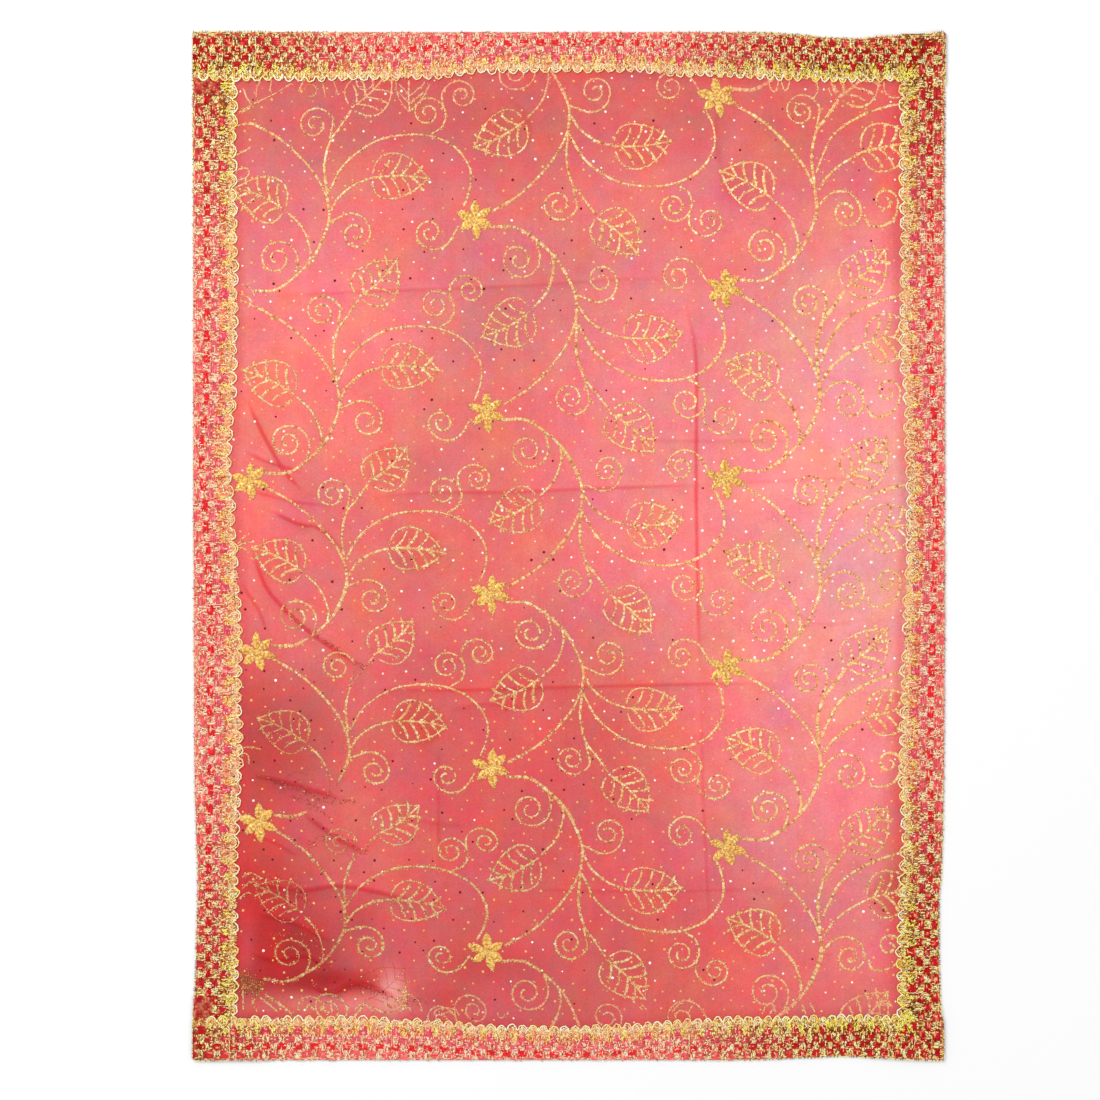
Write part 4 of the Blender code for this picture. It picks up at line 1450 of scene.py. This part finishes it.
def redSquares(pile, side, row):
    centre, half, shift, step, deep, glowing = row
    places, room = repeatPlaces(side, step, shift)
    shape = squareShape
    steps = np.linspace(-0.5, 0.5, shape["points"])
    own = paletteOf([(deep, glowing)])
    count = len(places)
    size = (count, shape["points"])
    bead = 1 - shape["bead"] * (np.arange(shape["points"]) % 2)
    fullness = 1 - 0.5 * (2 * np.abs(steps)) ** 4
    for bar in np.linspace(-1, 1, round(half + 0.6)):
        long = room[:, None] * shape["length"] * rng.uniform(*shape["lengths"], (count, 1))
        if step == 1:
            # a wedge tapers towards the net
            long = long * (shape["wedgeMiddle"] + shape["wedgeTaper"] * bar)
        along = places[:, None] + rng.normal(0, shape["placeNoise"], (count, 1)) + steps * long
        back = rowBack(side, along, centre + bar * half * shape["spread"])
        back = back + rng.normal(0, shape["backNoise"], along.shape)
        wide = shape["barWidth"] * bead * fullness * rng.uniform(*shape["widths"], (count, 1))
        shades = own[np.zeros(size, int)] * rng.uniform(*shape["brightness"], (*size, 1, 1))
        stray = rng.random(size) < shape["strayPink"]
        shades[stray] = pinkShades[rng.integers(0, 2, int(stray.sum()))]
        shown = insideEdge(side, along, back, shape["edgeGap"]) & (along > side["start"]).all(axis=1)
        shown &= (along < side["end"]).all(axis=1)
        along, back, wide, shades = along[shown], back[shown], wide[shown], shades[shown]
        threads(pile, side, along, back, wide, shape["lift"], shape["crown"], shades)
    inside = (places > side["start"] + 3) & (places < side["end"] - 3)
    places, room = places[inside], room[inside]
    backs = rowBack(side, places, centre)
    curls(pile, side, places, backs, 0.2 * room, 0.7 * half, 1, pinkShades, width=0.7, lift=1.2, crown=0)


cellShape = {
    "spread": 0.2, "wedgeSpread": 0.6,
    "underShare": 0.5, "underEach": 9.0, "underWidth": 1.2, "underLift": 0.4,
    "share": 0.62, "each": 3.3, "width": 0.9,
}


def paleCells(pile, side, row):
    shape = cellShape
    centre, half, shift, step, *_ = row
    places, room = repeatPlaces(side, step, shift + 0.5 * step)
    backs = rowBack(side, places, centre)
    area = 2 * half * room.mean()
    palette = np.concatenate([paleShades, paleShades[:2], darkShades])
    if step == 1:
        palette = np.concatenate([paleShades, darkShades, darkShades[2:3], lemonShades[:2]])
    spread = (shape["spread"] if step < 1 else shape["wedgeSpread"]) * room
    # dark curls under the pale ones: painted shade in the gaps between them
    under = round(shape["underShare"] * area / shape["underEach"])
    curls(pile, side, places, backs, spread, half, under, darkShades,
          shape["underWidth"], shape["underLift"], 0)
    number = round(shape["share"] * area / shape["each"])
    curls(pile, side, places, backs, spread, 0.95 * half, number, palette, shape["width"], crown=0)


longThread = {
    "points": 14, "from": (8, 22), "endGap": (2, 18), "share": 0.4, "glowLess": 0.3,
    "wobble": 0.3, "width": 0.6, "lift": 1.2,
}


def longThreads(pile, side):
    # a few long pale threads over everything, most of them near the corners
    shape = longThread
    crossings, _ = repeatPlaces(side, 0.5, 0.12)
    chance = shape["share"] - shape["glowLess"] * glowAt(side, crossings)[:, 0]
    crossings = crossings[(rng.random(len(crossings)) < chance) & (crossings > side["start"] + 5)]
    crossings = crossings[crossings < side["end"] - 5]
    count, points = len(crossings), shape["points"]
    first = rng.uniform(*shape["from"], (count, 1))
    last = laceWidth(side, crossings)[:, None] - rng.uniform(*shape["endGap"], (count, 1))
    along = crossings[:, None] + rng.normal(0, shape["wobble"], (count, points))
    back = first + (last - first) * np.linspace(0, 1, points)
    shades = pick(np.concatenate([paleShades, darkShades[3:]]), count, points, spread=0.1, stray=0.6)
    threads(pile, side, along, back, shape["width"], shape["lift"], 0, shades, flatAcross)


boundaryThread = {
    "backs": (20.4, 28.1, 35.2, 43.8), "pitch": 1.8, "points": 3, "tilt": 0.6, "alongNoise": 0.4,
    "backNoise": 0.3, "reach": 1.0, "width": 0.85, "lift": 0.95,
}


def boundaryThreads(pile, side):
    # short crinkled threads where one row meets the next
    shape = boundaryThread
    points = shape["points"]
    palette = np.concatenate([paleShades, darkShades, pinkShades[:2]])
    for boundary in shape["backs"]:
        along = np.arange(side["start"] + 1, side["end"] - 1, shape["pitch"])
        back = rowBack(side, along, boundary)
        inside = back < laceWidth(side, along) - 2
        along, back = along[inside], back[inside]
        count = len(along)
        tilt = rng.uniform(-shape["tilt"], shape["tilt"], (count, 1))
        along = along[:, None] + rng.normal(0, shape["alongNoise"], (count, 1))
        along = along + np.linspace(-0.5, 0.5, points) * tilt
        back = back[:, None] + np.linspace(-shape["reach"], shape["reach"], points)
        back = back + rng.normal(0, shape["backNoise"], (count, 1))
        shades = pick(palette, count, points, spread=0.2, stray=0.0)
        threads(pile, side, along, back, shape["width"], shape["lift"], 0, shades, flatAcross)


edgeShape = {
    "picotPitch": 2.1, "picotPoints": 4, "picotReach": 0.7, "picotDepth": 1.2, "picotInset": 1.4,
    "picotWidth": 0.5, "picotLift": 0.4, "picotCrown": 0.3,
    "tickPitch": 1.75, "tickAlong": (-0.25, 0.0, 0.25), "tickBack": (-2.0, -0.4, 1.0), "tickNoise": 0.2,
    "tickWidth": 0.7, "tickLift": 0.3, "fewestTicks": 0.15,
    "threadInsets": (1.6, 2.8), "threadStep": 1.7, "threadNoise": 0.12, "threadWidth": 0.85,
    "threadLift": 0.5, "threadCrown": 0.35,
}
picotShades = np.concatenate([paleShades[[0, 2, 3, 5]], pinkShades[:2], darkShades])


def outerEdge(pile, side):
    shape = edgeShape
    # a row of fine picots
    points = shape["picotPoints"]
    count = round((side["end"] - side["start"]) / shape["picotPitch"])
    along = np.linspace(side["start"] + 0.6, side["end"] - 0.6, count)
    loop = np.linspace(0, math.pi, points)
    a = along[:, None] - shape["picotReach"] * np.cos(loop)
    b = laceWidth(side, a) - shape["picotInset"] + shape["picotDepth"] * np.sin(loop)
    shades = pick(picotShades, count, points, spread=0.2, stray=0.0)
    threads(pile, side, a, b, shape["picotWidth"], shape["picotLift"], shape["picotCrown"], shades)
    # short ticks outside it, thick in the corners and sparse between
    ticks = np.arange(side["start"] + 0.8, side["end"] - 0.8, shape["tickPitch"])
    fewest = shape["fewestTicks"]
    thinning = fewest + (1 - fewest) * (1 - glowAt(side, ticks)[:, 0])
    ticks = ticks[rng.random(len(ticks)) < thinning][:, None] + np.array(shape["tickAlong"])
    b = laceWidth(side, ticks) + np.array(shape["tickBack"])
    b = b + rng.normal(0, shape["tickNoise"], (len(ticks), 1))
    palette = np.concatenate([lemonShades[:2], paleShades[:1], darkShades[:3]])
    shades = pick(palette, len(ticks), 3, spread=0.1, stray=0.0)
    threads(pile, side, ticks, b, shape["tickWidth"], shape["tickLift"], 0, shades, flatAcross)
    # two threads along it
    for inset in shape["threadInsets"]:
        a = np.arange(side["start"] + 0.5, side["end"] - 0.5, shape["threadStep"])[None]
        shades = pick(picotShades, 1, a.shape[1], spread=0.2, stray=1.0)
        back = laceWidth(side, a) - inset + rng.normal(0, shape["threadNoise"], a.shape)
        threads(pile, side, a, back, shape["threadWidth"], shape["threadLift"], shape["threadCrown"], shades)


checkFlecks = {"from": 14, "to": 52, "each": 42.0}


def laceChecks(name, side):
    pile = Pile()
    for row in laceShape["rows"].values():
        redSquares(pile, side, row)
        paleCells(pile, side, row)
    longThreads(pile, side)
    boundaryThreads(pile, side)
    palette = np.concatenate([paleShades, pinkShades, darkShades])
    flecks(pile, side, checkFlecks["from"], checkFlecks["to"], checkFlecks["each"], palette)
    outerEdge(pile, side)
    return pile.build(name, laceThread)


clumpShape = {
    "threads": 40, "points": 4, "spread": 4.2, "reach": (2.0, 4.5), "fromEnd": 39, "back": 10,
    "width": 1.0, "lift": 0.95, "crown": 0.4,
}


def cornerClumps(pile, side):
    # thick lemon threads where two lengths meet on the diagonal
    shape = clumpShape
    count, points = shape["threads"], shape["points"]
    for end in side["mitred"]:
        inwards = 1 if end == "start" else -1
        spread = rng.normal(0, shape["spread"], (2, count, 1))
        turn = rng.uniform(0, math.pi, (count, 1))
        reach = np.linspace(-0.5, 0.5, points) * rng.uniform(*shape["reach"], (count, 1))
        along = side[end] + inwards * (shape["fromEnd"] + np.abs(spread[0])) + reach * np.cos(turn)
        back = shape["back"] + spread[1] + reach * np.sin(turn)
        shades = pick(lemonShades, count, points, spread=0.12, stray=0.3)
        threads(pile, side, along, back, shape["width"], shape["lift"], shape["crown"], shades)


webShape = {
    "archPoints": 9, "uneven": 0.5, "archCrown": 0.3, "archWidths": (0.75, 1.2),
    "spokes": (-0.36, -0.12, 0.12, 0.36), "spokePoints": 6, "spokeCrinkle": (0.3, 1.3), "spokeFoot": (9, 13),
    "spokeTop": 1.8, "spokeDip": 3.6, "spokeWidth": 0.9, "spokeLift": 0.5,
    "curls": 9, "curlsBack": 8.5, "curlsReach": (0.45, 4.8), "curlWidth": 0.85, "curlsLoose": 0.5,
    "flecks": (3.4, 13.6, 8.0),
    "lemonShifts": (0.22, -0.22), "lemonCurls": 15, "lemonBack": 12.5, "lemonReach": (0.2, 5.0),
    "lemonWidth": 0.95, "lemonLift": 0.85, "lemonLoose": 0.4,
}


def laceWeb(name, side):
    shape = webShape
    pile = Pile()
    middles, room = repeatPlaces(side, 1 / 3, 0)
    inside = (middles > side["start"] + 1) & (middles < side["end"] - 1)
    middles, pitch = middles[inside], room[inside, None] * 2 / 3
    count = len(middles)
    uneven = rng.normal(0, shape["uneven"], (count, 1))
    points = shape["archPoints"]
    turn = np.linspace(-1, 1, points)

    def arch(reach, top, foot, width, lift, palette, wobble, kept=1.0, squareness=2.2):
        some = rng.random(count) < kept
        number = int(some.sum())
        along = middles[some, None] + turn * pitch[some] * reach + rng.normal(0, wobble, (number, points))
        back = top + uneven[some] * (1 - top / 14) + (foot - top) * np.abs(turn) ** squareness
        back = back + rng.normal(0, wobble, (number, points))
        wide = width * rng.uniform(*shape["archWidths"], (number, points))
        shades = pick(palette, number, points, spread=0.1, stray=0.25)
        threads(pile, side, along, back, wide, lift, shape["archCrown"], shades)

    mixed = np.concatenate([webShades, rimShades[:1]])
    arch(0.48, 0.9, 6.2, 1.2, 0.85, rimShades, wobble=0.3, kept=0.94)
    arch(0.41, 3.0, 8.0, 0.9, 0.65, mixed, wobble=0.5, kept=0.7)
    arch(0.30, 5.2, 10.5, 0.9, 0.6, mixed, wobble=0.6, kept=0.6, squareness=1.6)
    # crinkled spokes
    steps = shape["spokePoints"]
    for offset in shape["spokes"]:
        crinkle = zigzag(steps) * rng.uniform(*shape["spokeCrinkle"], (count, 1))
        top = shape["spokeTop"] + shape["spokeDip"] * (2 * abs(offset)) ** 2
        foot = rng.uniform(*shape["spokeFoot"], (count, 1))
        along = middles[:, None] + offset * pitch + rng.normal(0, 0.5, (count, 1)) + crinkle
        back = top + (foot - top) * np.linspace(0, 1, steps) + rng.normal(0, 0.25, (count, steps))
        shades = pick(webShades, count, steps, spread=0.2, stray=0.45)
        threads(pile, side, along, back, shape["spokeWidth"], shape["spokeLift"], 0.3, shades)
    reachA, reachB = shape["curlsReach"]
    palette = np.concatenate([webShades, lemonShades[[0, 3]], darkShades[:2]])
    curls(pile, side, middles, np.full(count, shape["curlsBack"]), reachA * pitch[:, 0], reachB,
          shape["curls"], palette, shape["curlWidth"], crown=0, loose=shape["curlsLoose"])
    flecks(pile, side, *shape["flecks"], np.concatenate([webShades, rimShades, darkShades[:1]]))
    # lemon clumps on both sides of each wedge
    reachA, reachB = shape["lemonReach"]
    for shift in shape["lemonShifts"]:
        places, room = repeatPlaces(side, 1, shift)
        backs = rowBack(side, places, shape["lemonBack"])
        curls(pile, side, places, backs, reachA * room, reachB, shape["lemonCurls"], lemonShades,
              shape["lemonWidth"], shape["lemonLift"], 0, shape["lemonLoose"])
    cornerClumps(pile, side)
    return pile.build(name, laceThread)


lacePieces = {}
for name, side in sides.items():
    label = "lace" + name.capitalize()
    band = laceGroundAndShadeBand(label + "GroundAndShade", side)
    checks = laceChecks(label + "Checks", side)
    web = laceWeb(label + "Web", side)
    lacePieces[name] = (band, checks, web)
    for piece in (band, checks, web):
        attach(piece, "root")
    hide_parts("lace_" + name)
print("lace woven")

for name, side in sides.items():
    band, checks, web = lacePieces[name]

# Floor, soft light and the camera straight above
studio = {
    "floorSize": 14, "floorColour": (0.93, 0.93, 0.93), "world": 0.62, "cameraHeight": 3.056,
    "cameraPlace": (-0.019, -0.004), "lens": 100,
    "keyPower": 56, "keySize": 1.6, "keyPlace": (-1.7, 1.5, 2.3),
    "fillPower": 34, "fillSize": 3.0, "fillPlace": (2.2, -1.4, 3.0),
}
floorMesh = bpy.data.meshes.new("floor")
reach = studio["floorSize"] / 2
floorCorners = [(-reach, -reach, 0), (reach, -reach, 0), (reach, reach, 0), (-reach, reach, 0)]
floorMesh.from_pydata(floorCorners, [], [(0, 1, 2, 3)])
floor = bpy.data.objects.new("floor", floorMesh)
bpy.context.scene.collection.objects.link(floor)
floorMaterial, floorShader, *_ = newMaterial("paleFloor", roughness=0.9)
floorShader.inputs["Base Color"].default_value = (*studio["floorColour"], 1)
floorMesh.materials.append(floorMaterial)


def softLight(name, place, size, power):
    data = bpy.data.lights.new(name, "AREA")
    data.shape = "DISK"
    data.size = size
    data.energy = power
    light = bpy.data.objects.new(name, data)
    light.location = place
    light.rotation_euler = (-Vector(place)).to_track_quat("-Z", "Y").to_euler()
    bpy.context.scene.collection.objects.link(light)


softLight("keyLight", studio["keyPlace"], studio["keySize"], studio["keyPower"])
softLight("fillLight", studio["fillPlace"], studio["fillSize"], studio["fillPower"])
world = bpy.data.worlds.new("studioWorld")
world.use_nodes = True
world.node_tree.nodes["Background"].inputs["Color"].default_value = (1, 1, 1, 1)
world.node_tree.nodes["Background"].inputs["Strength"].default_value = studio["world"]
bpy.context.scene.world = world
bpy.context.scene.view_settings.view_transform = "Standard"

cameraData = bpy.data.cameras.new("camera")
cameraData.lens = studio["lens"]
cameraData.sensor_width = 36
camera = bpy.data.objects.new("camera", cameraData)
camera.location = (*studio["cameraPlace"], studio["cameraHeight"])
bpy.context.scene.collection.objects.link(camera)
bpy.context.scene.camera = camera
print("stage set")
